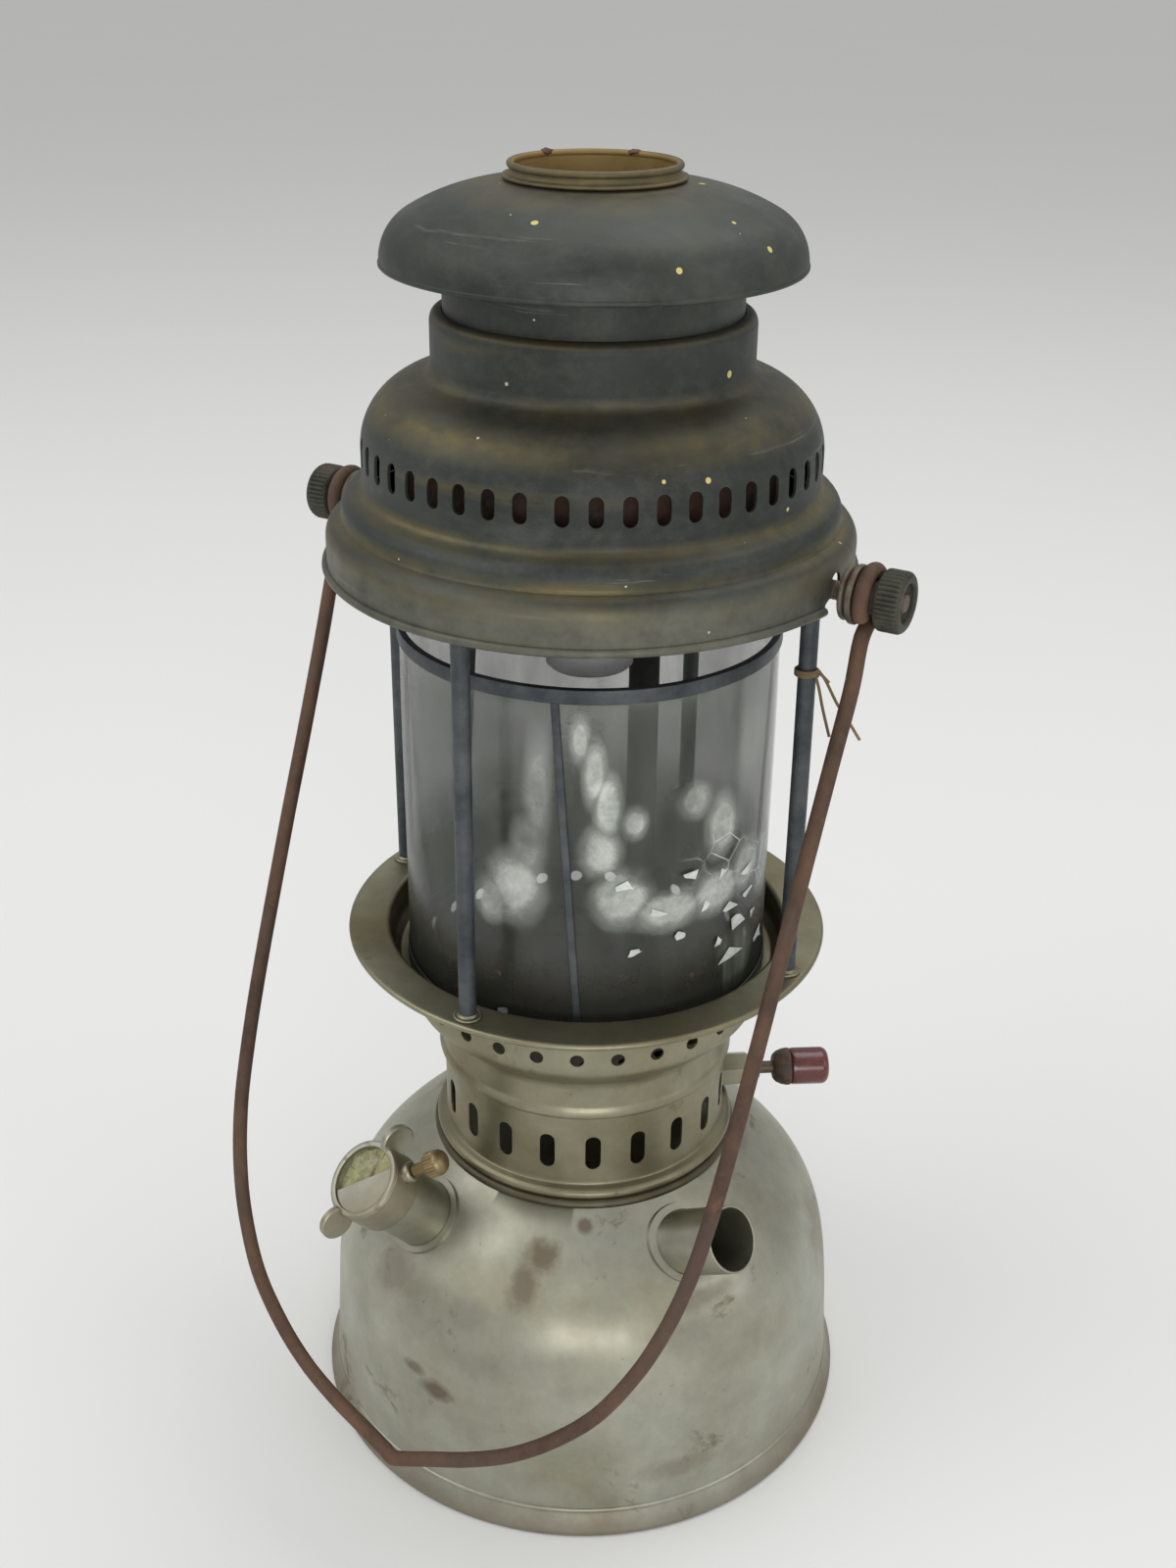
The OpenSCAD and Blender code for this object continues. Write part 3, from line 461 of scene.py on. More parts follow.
    def specks(self, base, colour, scale, size, amount, seed=0.0):
        """Small random flecks of paint over a base colour."""
        v = self.cells(scale, seed)
        lot = self.node("ShaderNodeSeparateColor", {"Color": v.outputs["Color"]})
        pick = self.calc("LESS_THAN", lot.outputs[0], amount)
        reach = self.add(self.mul(lot.outputs[1], size), size * 0.25)
        dots = self.mul(pick, self.calc("LESS_THAN", v.outputs["Distance"], reach))
        return self.mix(dots, base, colour), dots


SOCKETS = {"color": "Base Color", "metal": "Metallic", "rough": "Roughness", "normal": "Normal",
           "alpha": "Alpha", "coat": "Coat Weight", "coat_rough": "Coat Roughness",
           "specular": "Specular IOR Level"}


def plated(name, light, brown, dark, rough, stain):
    """Worn nickel over brass: cloudy tarnish, brown stains, fine upright wipe marks, pits."""
    k = Look(name)
    cloud = k.noise(16, 6, 0.62, seed=1)
    fine = k.noise(75, seed=2)
    wipe = k.noise(40, 4, 0.6, stretch=(1, 1, 0.12), seed=3)
    patch = k.ramp(cloud, (0.36, 0.0), (0.62, 1.0))
    colour = k.mix(k.mul(patch, stain), light, brown)
    spots = k.ramp(k.noise(34, 8, 0.75, seed=4, warp=0.4), (0.60, 0.0), (0.70, 1.0))
    colour = k.mix(k.mul(spots, stain), colour, dark)
    haze = k.ramp(fine, (0.35, 0.86), (0.7, 1.06))
    colour = k.mix(1.0, colour, haze, "MULTIPLY")
    pits = k.ramp(k.noise(420, 3, 0.6, seed=5), (0.70, 0.0), (0.76, 1.0))
    colour = k.mix(k.mul(pits, 0.45), colour, dark)
    lo, hi = rough
    r = k.add(k.mul(k.add(cloud, k.mul(wipe, 0.5)), (hi - lo)), lo - 0.08)
    r = k.add(r, k.mul(spots, 0.18), clamp=True)
    h = k.add(k.mul(fine, 0.35), k.mul(wipe, 0.25))
    k.set(color=colour, metal=k.sub(1.0, k.mul(spots, 0.45)), rough=r, normal=k.bump(h, 0.18, 0.0012))
    return k


def mat_tank():
    k = plated("nickel_tank", (0.45, 0.455, 0.385), (0.30, 0.275, 0.19), (0.13, 0.10, 0.06), (0.36, 0.56),
        0.7)
    base = k.bsdf.inputs["Base Color"].links[0].from_socket
    rough = k.bsdf.inputs["Roughness"].links[0].from_socket
    stains_and_low_shade = None
    for i, (az, z, wa, wz, s) in enumerate(TANK_STAINS):
        b = k.mul(k.blob(az, z, wa, wz, 0.6, 1.5, i * 3.1, 90.0), s)
        stains_and_low_shade = b if stains_and_low_shade is None else k.most(stains_and_low_shade, b)
    _, h = k.bearing_height()
    # Darker low on the tank wall and over the foot: painted shade near the floor, added into the stain
    # mask.
    foot = k.ramp(k.add(k.mul(h, 60.0), k.mul(k.noise(50, 5, 0.7, seed=8), 0.5)), (0.42, 1.0), (0.85, 0.0))
    stains_and_low_shade = k.most(stains_and_low_shade, k.mul(foot, 0.55))
    k.set(color=k.mix(stains_and_low_shade, base, (0.11, 0.075, 0.042)), rough=k.add(rough, k.mul(stains_and_low_shade, 0.22),
        clamp=True), metal=k.sub(1.0, k.mul(stains_and_low_shade, 0.75)))
    return k.mat


TANK_STAINS = [(-72, 86, 7, 5, 0.75), (-76, 80, 5, 7, 0.6), (-94, 42, 5, 4, 0.85), (-100, 46, 4, 2.5, 0.7),
    (-60, 93, 3, 2, 0.8), (-30, 74, 12, 3, 0.35), (-112, 70, 9, 8, 0.35), (-120, 84, 13, 9, 0.3),
    (20, 60, 14, 18, 0.3), (100, 70, 16, 12, 0.45), (160, 40, 10, 16, 0.4), (-150, 50, 9, 14, 0.35),
    (60, 30, 8, 9, 0.4), (-40, 20, 10, 5, 0.3)]


def mat_drum():
    return plated("tarnished_drum", (0.33, 0.315, 0.225), (0.20, 0.172, 0.095), (0.085, 0.062, 0.034),
        (0.36, 0.60), 0.85).mat


def mat_dark_seam():
    return plated("dark_seam", (0.17, 0.155, 0.11), (0.09, 0.07, 0.045), (0.04, 0.03, 0.02), (0.40, 0.7),
        0.9).mat


def mat_cap():
    return plated("cap_metal", (0.44, 0.435, 0.365), (0.29, 0.245, 0.16), (0.13, 0.09, 0.055), (0.34, 0.55),
        0.8).mat


def mat_brass():
    return plated("dull_brass", (0.36, 0.29, 0.15), (0.22, 0.16, 0.08), (0.08, 0.058, 0.032), (0.36, 0.6),
        0.85).mat


# Height and half-height of each rubbed band of the hood: brass where the paint is worn, and partly a
# painted highlight along the fillets.
HOOD_STEPS = [(302.5, 3.0), (310.0, 2.6), (340.0, 3.6), (334.0, 6.0), (355.8, 1.2), (389.0, 3.5),
              (297.0, 4.0)]


def mat_hood():
    k = Look("weathered_hood")
    _, _, z = k.axes()
    cloud = k.noise(14, 7, 0.65, seed=11)
    band = k.noise(26, 6, 0.65, stretch=(0.25, 0.25, 3.0), seed=12)
    fine = k.noise(160, 6, 0.75, seed=13)
    dark, mid, brass = (0.026, 0.031, 0.028), (0.056, 0.061, 0.050), (0.20, 0.165, 0.08)
    colour = k.tone(cloud, 0.34, 0.66, 1.0, dark, mid)
    # Rubbed brass on the turned steps, whose heights are the fillets of the hood; partly a painted
    # highlight along those fillets.
    steps = None
    for hz, w in HOOD_STEPS:
        d = k.calc("ABSOLUTE", k.sub(z, hz * S))
        g = k.sub(1.0, k.div(d, w * S), clamp=True)
        steps = g if steps is None else k.most(steps, g)
    rub_and_highlight = k.mul(steps, k.ramp(k.noise(30, stretch=(1, 1, 2), seed=14), (0.34, 0.0), (0.62, 0.85)))
    rub_and_highlight = k.most(rub_and_highlight, k.ramp(band, (0.58, 0.0), (0.74, 0.5)))
    colour = k.mix(rub_and_highlight, colour, brass)
    grey = k.ramp(k.noise(22, 7, 0.7, stretch=(1, 1, 2.2), seed=15), (0.52, 0.0), (0.72, 0.55))
    colour = k.mix(grey, colour, (0.105, 0.118, 0.108))
    soot = k.ramp(k.noise(9, 5, 0.6, seed=18), (0.5, 0.0), (0.68, 0.6))
    colour = k.mix(soot, colour, (0.016, 0.016, 0.014))
    colour = k.tone(fine, 0.46, 0.74, 0.30, colour, (0.13, 0.125, 0.095))
    scratch = k.ramp(k.noise(70, 5, 0.7, stretch=(0.16, 0.16, 4.0), seed=19, warp=0.25), (0.63, 0.0),
        (0.70, 0.5))
    colour = k.mix(scratch, colour, (0.19, 0.195, 0.175))
    # Dust on the lowest band.
    dust = k.sub(1.0, k.div(k.sub(z, 0.2965), 0.004), clamp=True)
    colour = k.mix(k.mul(dust, k.ramp(k.noise(38, seed=20), (0.36, 0.1), (0.64, 0.75))), colour,
        (0.17, 0.165, 0.125))
    colour, dots = k.specks(colour, (0.58, 0.50, 0.17), 112, 0.095, 0.30, seed=3)
    colour, _ = k.specks(colour, (0.50, 0.49, 0.40), 170, 0.07, 0.13, seed=9)
    metal = k.mul(k.line(rub_and_highlight, 0.45, 0.5), k.sub(1.0, dots))
    rough = k.line(fine, 0.36, 0.35)
    h = k.add(k.mul(fine, 0.5), k.add(k.mul(cloud, 0.3), dots))
    k.set(color=colour, metal=metal, rough=rough, normal=k.bump(h, 0.25, 0.0008))
    return k.mat


def mat_frame():
    k = Look("dull_frame_steel")
    n = k.noise(60, seed=21)
    f = k.noise(260, 5, 0.7, seed=22)
    colour = k.tone(n, 0.35, 0.68, 1.0, (0.045, 0.052, 0.058), (0.115, 0.125, 0.13))
    rust = k.ramp(k.noise(85, 7, 0.75, seed=23), (0.60, 0.0), (0.72, 0.7))
    colour = k.mix(rust, colour, (0.13, 0.07, 0.04))
    k.set(color=colour, metal=k.sub(0.75, rust), rough=k.line(f, 0.36, 0.32),
        normal=k.bump(f, 0.25, 0.0005))
    return k.mat


def mat_rust(name="rusted_rod", deep=(0.045, 0.025, 0.016), light=(0.145, 0.078, 0.045), specks=True):
    k = Look(name)
    n = k.noise(48, 8, 0.72, seed=31, stretch=(1, 1, 0.5))
    f = k.noise(320, 6, 0.8, seed=32)
    colour = k.tone(n, 0.34, 0.66, 1.0, deep, light)
    colour = k.tone(k.noise(26, 5, 0.6, seed=33), 0.50, 0.68, 0.75, colour, (0.080, 0.053, 0.040))
    colour = k.tone(k.noise(120, seed=35), 0.60, 0.72, 0.6, colour, (0.23, 0.11, 0.045))
    if specks:
        colour, _ = k.specks(colour, (0.42, 0.39, 0.25), 130, 0.06, 0.16, seed=34)
    k.set(color=colour, metal=0.15, rough=k.line(f, 0.58, 0.3), normal=k.bump(k.add(f, k.mul(n, 0.6)), 0.45,
        0.0006))
    return k.mat


def worn(name, ground, colours, over=(), fine=None, rough=(0.5, 0.3), bump=(0.3, 0.0004), **more):
    """Two colours mixed by one noise, further colours in patches over them, a grain from a fine noise."""
    k = Look(name)
    n = k.noise(*ground[:3], seed=ground[3])
    colour = k.tone(n, *ground[4:], 1.0, *colours)
    for (scale, detail, grain, seed, low, high, top), tint in over:
        colour = k.tone(k.noise(scale, detail, grain, seed=seed), low, high, top, colour, tint)
    f = k.noise(*fine[:3], seed=fine[3]) if fine else n
    k.set(color=colour, rough=k.line(f, *rough), normal=k.bump(f, *bump), **more)
    return k.mat


# Scale, detail, roughness and seed of each noise, then the levels between which a colour comes in.
def mat_hot():
    return worn("heat_scaled_steel", (40, 7, 0.7, 41, 0.34, 0.64), ((0.030, 0.026, 0.024),
        (0.17, 0.085, 0.05)), [((200, 6, 0.8, 42, 0.5, 0.74, 0.5), (0.20, 0.17, 0.14))], (200, 6, 0.8, 42),
        (0.55, 0.3), (0.4, 0.0005), metal=0.25)


def mat_black_tube():
    return worn("soot_black_tube", (70, 6, 0.7, 45, 0.4, 0.7), ((0.010, 0.010, 0.010),
        (0.040, 0.034, 0.030)), rough=(0.6, 0.25), metal=0.1)


def mat_bakelite():
    return worn("dark_red_knob", (36, 4, 0.6, 72, 0.35, 0.65), ((0.060, 0.010, 0.011),
        (0.125, 0.024, 0.022)), [((110, 6, 0.7, 71, 0.58, 0.75, 0.5), (0.20, 0.10, 0.08))],
        (110, 6, 0.7, 71), (0.16, 0.22), (0.1, 0.0004), coat=0.25, coat_rough=0.12)


def mat_knob_shadow_foot():
    # The knob's base is near-black: painted shadow on the end of the knob next to the drum.
    return worn("knob_shadow_foot", (150, 6, 0.7, 75, 0.4, 0.68), ((0.016, 0.013, 0.012), (0.10, 0.055, 0.03)),
        rough=(0.42, 0.3))


def mat_nut():
    return worn("blackened_nut", (120, 6, 0.7, 101, 0.36, 0.68), ((0.026, 0.029, 0.023),
        (0.085, 0.082, 0.055)), [((70, 6, 0.75, 102, 0.56, 0.7, 0.7), (0.095, 0.056, 0.03))],
        rough=(0.42, 0.28), metal=0.5)


def mat_stud():
    return worn("worn_stud", (130, 6, 0.7, 111, 0.36, 0.66), ((0.075, 0.062, 0.045), (0.19, 0.165, 0.125)),
        [((60, 6, 0.75, 112, 0.46, 0.64, 0.85), (0.105, 0.055, 0.03))], rough=(0.36, 0.3),
        bump=(0.3, 0.0003), metal=0.5)


def mat_chimney():
    k = Look("heat_stained_ring")
    x, y, _ = k.axes()
    n = k.noise(55, 7, 0.7, seed=51)
    colour = k.tone(n, 0.34, 0.66, 1.0, (0.085, 0.072, 0.038), (0.20, 0.155, 0.07))
    colour = k.tone(k.noise(30, seed=52), 0.5, 0.68, 0.8, colour, (0.055, 0.052, 0.042))
    out = k.calc("SQRT", k.add(k.mul(x, x), k.mul(y, y)))
    inside = k.calc("LESS_THAN", out, 0.02145)
    colour = k.mix(k.mul(inside, 0.8), colour, k.mix(n, (0.17, 0.105, 0.035), (0.40, 0.27, 0.09)))
    k.set(color=colour, metal=0.45, rough=k.line(n, 0.42, 0.3), normal=k.bump(n, 0.25, 0.0006))
    return k.mat


def mat_clay():
    k = Look("burner_clay")
    _, _, z = k.axes()
    n = k.noise(90, 7, 0.7, seed=61)
    low = k.sub(1.0, k.div(k.sub(z, 0.2556), 0.006), clamp=True)
    edge = k.mul(low, k.ramp(n, (0.35, 0.2), (0.6, 1.0)))
    colour = k.tone(n, 0.35, 0.7, 1.0, (0.36, 0.38, 0.40), (0.56, 0.58, 0.58))
    k.set(color=k.mix(k.mul(edge, 0.75), colour, (0.19, 0.11, 0.09)), rough=0.9,
        normal=k.bump(n, 0.5, 0.0006))
    return k.mat


def mat_rubber():
    k = Look("aged_rubber")
    n = k.noise(300, 4, 0.7, seed=81)
    k.set(color=k.mix(n, (0.018, 0.016, 0.014), (0.06, 0.05, 0.045)), rough=0.8,
        normal=k.bump(n, 0.3, 0.0003))
    return k.mat


def mat_gauge_glass():
    k = Look("gauge_glass")
    n = k.noise(220, 6, 0.75, seed=91)
    dirt = k.ramp(n, (0.45, 0.10), (0.72, 0.5))
    k.set(color=k.mix(n, (0.35, 0.33, 0.20), (0.72, 0.74, 0.55)), alpha=dirt, rough=k.line(n, 0.06, 0.2),
        specular=0.6)
    return k.mat


def mat_dial():
    k = Look("gauge_dial")
    n = k.noise(170, 7, 0.75, seed=95)
    m = k.noise(60, 4, 0.6, seed=96)
    colour = k.tone(m, 0.35, 0.65, 1.0, (0.34, 0.36, 0.10), (0.58, 0.56, 0.22))
    colour = k.tone(n, 0.52, 0.68, 0.75, colour, (0.19, 0.13, 0.05))
    k.set(color=colour, rough=0.55, normal=k.bump(n, 0.2, 0.0002))
    return k.mat


def mat_pointer():
    k = Look("gauge_pointer")
    n = k.noise(300, 5, 0.7, seed=98)
    k.set(color=k.mix(n, (0.20, 0.045, 0.025), (0.34, 0.11, 0.06)), rough=0.5)
    return k.mat


def mat_mica():
    """Sooty mica: dim grey-green film, smooth milky clouds, a web of cracks where it has split."""
    k = Look("mica_sheet")

    def gather(spots, soft, rough, scale, seed):
        total = None
        for i, (az, z, wa, wz, s) in enumerate(spots):
            b = k.mul(k.blob(az, z, wa, wz, soft, rough, seed + i * 2.3, scale), s)
            total = b if total is None else k.most(total, b)
        return total

    torn = k.noise(62, 8, 0.7, seed=121, warp=0.5)
    milky = gather(MICA_CLOUDS, 0.55, 0.75, 34.0, 0.0)
    milky = k.mul(milky, k.ramp(torn, (0.30, 0.62), (0.60, 1.0)), clamp=True)
    window = gather(MICA_WINDOWS, 0.4, 0.5, 40.0, 60.0)
    milky = k.mul(milky, k.sub(1.0, window), clamp=True)
    split = gather(MICA_SPLITS, 0.5, 0.9, 60.0, 90.0)
    _, h = k.bearing_height()
    film = k.ramp(k.noise(26, 6, 0.65, stretch=(1, 1, 0.30), seed=122), (0.40, 0.0), (0.70, 1.0))
    low = k.sub(1.0, k.div(k.sub(h, 0.180), 0.026), clamp=True)
    sooty = k.mul(low, k.ramp(k.noise(34, 7, 0.7, seed=123), (0.30, 0.45), (0.60, 1.0)))
    high = k.div(k.sub(h, 0.258), 0.008, clamp=True)
    edge = k.cells(120, seed=5, feature="DISTANCE_TO_EDGE").outputs["Distance"]
    crack = k.mul(k.sub(1.0, k.div(edge, 0.035), clamp=True), split)
    thick = k.noise(20, 6, 0.65, stretch=(1, 1, 0.5), seed=126)
    colour = k.tone(thick, 0.36, 0.66, 1.0, (0.028, 0.032, 0.026), (0.072, 0.080, 0.064))
    colour = k.mix(k.mul(film, 0.6), colour, (0.135, 0.150, 0.122))
    colour = k.mix(k.mul(high, 0.45), colour, (0.20, 0.215, 0.18))
    colour = k.mix(k.mul(sooty, 0.9), colour, (0.022, 0.020, 0.017))
    fleck = k.ramp(k.noise(120, seed=129), (0.62, 0.0), (0.68, 0.8))
    colour = k.mix(k.mul(fleck, low), colour, (0.16, 0.085, 0.045))
    # Upright light streaks in three patches: painted reflection.
    reflection_streak = k.ramp(k.noise(44, 4, 0.6, stretch=(1, 1, 0.10), seed=130), (0.52, 0.0), (0.66, 0.85))
    side = gather([(-10, 176, 14, 12, 1.0), (26, 230, 20, 36, 0.8), (-4, 246, 12, 20, 0.6)], 0.6, 0.4, 30.0,
        120.0)
    colour = k.mix(k.mul(reflection_streak, side), colour, (0.34, 0.37, 0.31))
    white = k.tone(k.noise(70, 7, 0.7, seed=127), 0.36, 0.64, 1.0, (0.40, 0.44, 0.39), (0.74, 0.77, 0.72))
    colour = k.mix(milky, colour, white)
    colour = k.mix(k.mul(crack, 0.85), colour, (0.80, 0.82, 0.77))
    body = k.add(0.34, k.add(k.mul(film, 0.22), k.mul(sooty, 0.5)))
    body = k.most(body, k.mul(high, 0.6))
    alpha = k.most(k.mul(milky, 0.93), k.most(k.mul(crack, 0.8), body), clamp=True)
    rough = k.add(0.10, k.add(k.mul(milky, 0.30), k.mul(sooty, 0.3)))
    wavy = k.add(k.noise(11, 3, 0.5, stretch=(1, 1, 0.6), seed=128), k.mul(torn, 0.15))
    k.set(color=colour, alpha=alpha, rough=rough, specular=0.7, normal=k.bump(wavy, 0.35, 0.004))
    return k.mat


# Bearing, height, half-width in degrees, half-height and strength of each patch.
MICA_CLOUDS = [(-75, 240, 5.5, 24, 0.55), (-78, 222, 7, 12, 0.55), (-82, 210, 11, 15, 0.85),
    (-90, 204, 7, 9, 0.7), (-63, 256, 3.5, 9, 0.85), (-59, 246, 4.5, 12, 1.0), (-55, 236, 5, 12, 1.0),
    (-57, 222, 8, 10, 0.95), (-50, 208, 11, 11, 0.9), (-36, 202, 16, 8, 0.9), (-18, 203, 14, 9, 0.85),
    (-28, 234, 7, 7, 0.75), (-17, 224, 8, 12, 0.9), (-4, 206, 12, 11, 0.85), (10, 202, 10, 13, 0.7),
    (-47, 231, 5, 6, 0.8), (120, 210, 14, 20, 0.6), (-165, 226, 12, 14, 0.5), (150, 186, 12, 10, 0.5),
    (80, 190, 10, 18, 0.4)]
MICA_WINDOWS = [(-43, 250, 8, 15, 1.0), (-40, 217, 11, 7, 0.65), (-28, 216, 6, 5, 0.5)]
MICA_SPLITS = [(-14, 214, 12, 12, 1.0), (4, 204, 12, 12, 0.9), (-28, 212, 7, 7, 0.6),
    (-46, 210, 8, 8, 0.35), (124, 206, 10, 14, 0.8)]


def mat_flake():
    k = Look("mica_flake")
    n = k.noise(140, 7, 0.75, seed=131)
    k.set(color=k.mix(n, (0.55, 0.57, 0.52), (0.90, 0.91, 0.88)), alpha=k.ramp(n, (0.3, 0.55), (0.6, 0.92)),
        rough=0.16, specular=0.9)
    return k.mat


def mat_floor():
    k = Look("studio_floor")
    n = k.noise(3, 3, 0.5, seed=141)
    k.set(color=k.mix(n, (0.79, 0.79, 0.78), (0.81, 0.81, 0.80)), rough=0.85, specular=0.2)
    return k.mat


M = {"tank": mat_tank(), "drum": mat_drum(), "seam": mat_dark_seam(), "cap": mat_cap(),
    "brass": mat_brass(), "hood": mat_hood(), "frame": mat_frame(), "rust": mat_rust(),
    "wire": mat_rust("rusted_wire", (0.13, 0.088, 0.042), (0.30, 0.22, 0.115), False), "hot": mat_hot(),
    "black": mat_black_tube(), "chimney": mat_chimney(), "clay": mat_clay(), "knob": mat_bakelite(),
    "knob_shadow_foot": mat_knob_shadow_foot(), "rubber": mat_rubber(), "glass": mat_gauge_glass(), "dial": mat_dial(),
    "pointer": mat_pointer(), "nut": mat_nut(), "stud": mat_stud(), "mica": mat_mica(),
    "flake": mat_flake()}


def dress(ob, material, body, slot, *nodes):
    ob.data.materials.clear()
    ob.data.materials.append(M[material])
    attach(ob, body)
    if nodes:
        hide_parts(*nodes)
    return ob


def ring_wave(seed, amount, lobes=(2, 3, 5, 7)):
    """Smooth out-of-roundness as a function of bearing."""
    rng = np.random.default_rng(seed)
    terms = [(n, rng.uniform(0, 2 * pi), rng.uniform(0.4, 1.0) / n) for n in lobes]

    def f(a):
        return amount * sum(w * np.cos(n * a + p) for n, p, w in terms)
    return f


def share(x):
    return np.clip(x, 0, 1)


def turn_from(a, b):
    """The angle from bearing b to bearing a, between half a turn back and half a turn on."""
    return (a - b + pi) % (2 * pi) - pi


def dents(spots):
    """Shallow pressed dents: (bearing, z, half-width in degrees, half-height, depth)."""
    def f(a, z):
        d = np.zeros_like(a)
        for az, z0, wa, wz, depth in spots:
            da = turn_from(a, radians(az))
            d -= depth * np.exp(-(da / radians(wa)) ** 2 - ((z - z0) / wz) ** 2)
        return d
    return f


# ---------- tank ----------

def tank():
    dent = dents([(-76, 84, 5, 4, 0.55), (-62, 78, 7, 5, 0.5), (-58, 52, 8, 7, 0.45), (-96, 60, 8, 9, 0.4),
        (-85, 30, 9, 7, 0.35), (-38, 40, 7, 8, 0.4), (20, 50, 9, 9, 0.6), (95, 62, 8, 6, 0.7),
        (170, 36, 10, 9, 0.6), (-150, 60, 8, 8, 0.5)])
    oval = ring_wave(3, 0.18)

    def warp(a, r, z):
        keep = share((r - 50) / 12) * share((z - 9) / 8)
        near = np.ones_like(a)
        for az in (PUMP_AZ, FILL_AZ):
            away = (np.abs(np.degrees(turn_from(a, radians(az)))) - 16) / 8
            near = np.minimum(near, share(away) + share((68 - z) / 8))
        near = share(near)
        return (dent(a, z) + oval(a)) * keep * near, 0 * a

    inner = [(r, z) for r, z in reversed(tank_path(-1.0))]
    body = lathe("tank_body", tank_path() + [(4.3, TOP_Z), (4.3, TOP_Z - 1)] + inner, 256, warp)
    cut(body, [moved(rod_data(10.1, -20, 25, 48), AT_PUMP), moved(rod_data(10.5, -12, 12, 48), AT_FILL)])
    dress(body, "tank", "lantern", "plated_brass", "tank_shell")

    foot = soften([(82.95, 9), (83.9, 8.95), (84.45, 8.3), (84.35, 7.6), (85.0, 6.0), (86.1, 3.6),
        (86.9, 1.8), (86.85, 0.6), (86.0, 0.02), (83.6, 0.02), (82.8, 0.6), (82.3, 2.6), (80.5, 3.8),
        (60, 5.6), (40, 6.8), (20, 7.5), (0, 7.8)], 0.7, 3)
    foot += [(0, 8.8), (20, 8.5), (40, 7.8), (60, 6.6), (80.5, 4.9), (81.8, 5.4), (82.4, 7)]
    wave = ring_wave(8, 0.12, (2, 3, 4, 9))
    foot = lathe("tank_foot", foot, 256, lambda a, r, z: (wave(a) * share((r - 82) / 4), 0 * a))
    dress(foot, "tank", "lantern", "plated_brass", "tank_base")

    seam = lathe("seam_bead", soften([(44.9, TOP_Z), (47.7, TOP_Z + 0.02), (48.55, TOP_Z + 0.6),
        (48.5, TOP_Z + 1.5), (47.6, TOP_Z + 2.38), (44.9, TOP_Z + 2.4)], 0.6, 4), 224)
    dress(seam, "seam", "lantern", "seam_dark", "tank_collar")


def tube_loop(r0, r1, z0, z1, lip=0.25):
    """Outline of a plain tube with softened ends."""
    return soften([(r0, (z0 + z1) / 2), (r0, z0), (r1, z0), (r1, z1), (r0, z1), (r0, (z0 + z1) / 2)], lip,
        3)


def pump():
    bent = ring_wave(21, 0.12, (2, 3))
    body = lathe("pump_barrel", tube_loop(9.3, 10.0, -124, 18.6, 0.3), 96, lambda a, r,
        z: (bent(a) * share((z - 6) / 12), 0.12 * np.cos(2 * a + 1) * share((z - 12) / 6)), AT_PUMP)
    dress(body, "tank", "lantern", "plated_brass", "pump_tube")


def filler():
    neck = lathe("filler_tube", tube_loop(9.5, 10.4, -3, 25, 0.3), 96, None, AT_FILL)
    dress(neck, "tank", "lantern", "plated_brass", "filler_neck")


# ---------- filler cap with gauge ----------

def filler_cap():
    gap, low, high, neck = 10.7, 20.0, 31.0, 25.0
    shell = soften([(gap, low + 0.02), (12.15, low), (12.3, low + 0.3), (12.3, high - 0.3), (12.1, high),
        (10.95, high), (10.9, high - 0.1), (10.9, neck + 2.8), (0.01, neck + 2.8), (0.01, neck + 2.6),
        (gap, neck + 2.6), (gap, low + 0.02)], 0.3, 3)
    body = lathe("cap_shell", shell, 128, None, None)
    parts = []
    for s in (-1, 1):
        ear = prism_data(circle(5.3, 44), -1.1, 1.1, 0.35)
        parts.append(moved(ear, shift(s * 14.9, 0, high - 1.3) @ rot("X", 90)))
    parts.append(moved(lathe_data(soften([(1.3, 11.6), (3.2, 11.6), (3.2, 13.9), (2.7, 14.6), (1.3, 14.6)],
        0.3, 2) + [(1.3, 11.6)], 28), VENT_ON_CAP))
    cut(body, parts, "UNION")
    cut(body, [rod_data(10.9, neck + 2.8, high + 12, 64), rod_data(gap, low - 9, neck + 2.6, 64)])
    put_at(body, AT_FILL)
    dress(body, "cap", "cap", "plated_brass", "filler_cap")

    bezel = lathe("gauge_rim", soften([(10.95, high + 0.05), (12.3, high + 0.05), (12.3, high + 0.45),
        (11.8, high + 0.9), (10.3, high + 0.88), (10.2, high + 0.5), (10.95, high + 0.4)], 0.25, 3), 96,
        None, AT_FILL)
    dress(bezel, "cap", "cap", "plated_brass", "gauge_bezel")

    screw = [(0.02, 11.2), (1.2, 11.2), (1.2, 14.8), (1.9, 14.8), (1.9, 19.8), (3.3, 19.8), (3.95, 20.4),
        (4.0, 23.2)] + arc(0.8, 23.2, 3.2, 10, 84, 8) + [(0.02, 26.4)]

    def knurl(a, r, z):
        on = share((r - 3.3) / 0.5) * share((z - 19.9) / 0.5) * share((24.2 - z) / 0.8)
        return -0.32 * on * np.abs(np.mod(a * 22 / (2 * pi), 1) * 2 - 1), 0 * a
    v = lathe("air_screw", soften(screw, 0.25, 2), 176, knurl, AT_VENT)
    dress(v, "brass", "vent", "brass_fitting", "vent_screw")

    # Plain tick marks on the dial, without figures.
    ticks = []
    for i in range(9):
        t = radians(142 + 10 + 20 * i)
        long = 2.4 if i % 2 == 0 else 1.4
        bar = prism_data([(10.1 - long, -0.16), (10.1, -0.16), (10.1, 0.16), (10.1 - long, 0.16)], 28.35,
            28.52)
        ticks.append(moved(bar, rot("Z", degrees(t))))
    marks = merge("dial_ticks", ticks, AT_FILL)
    dress(marks, "pointer", "cap", "pointer_red")


# ---------- drum and gallery ----------

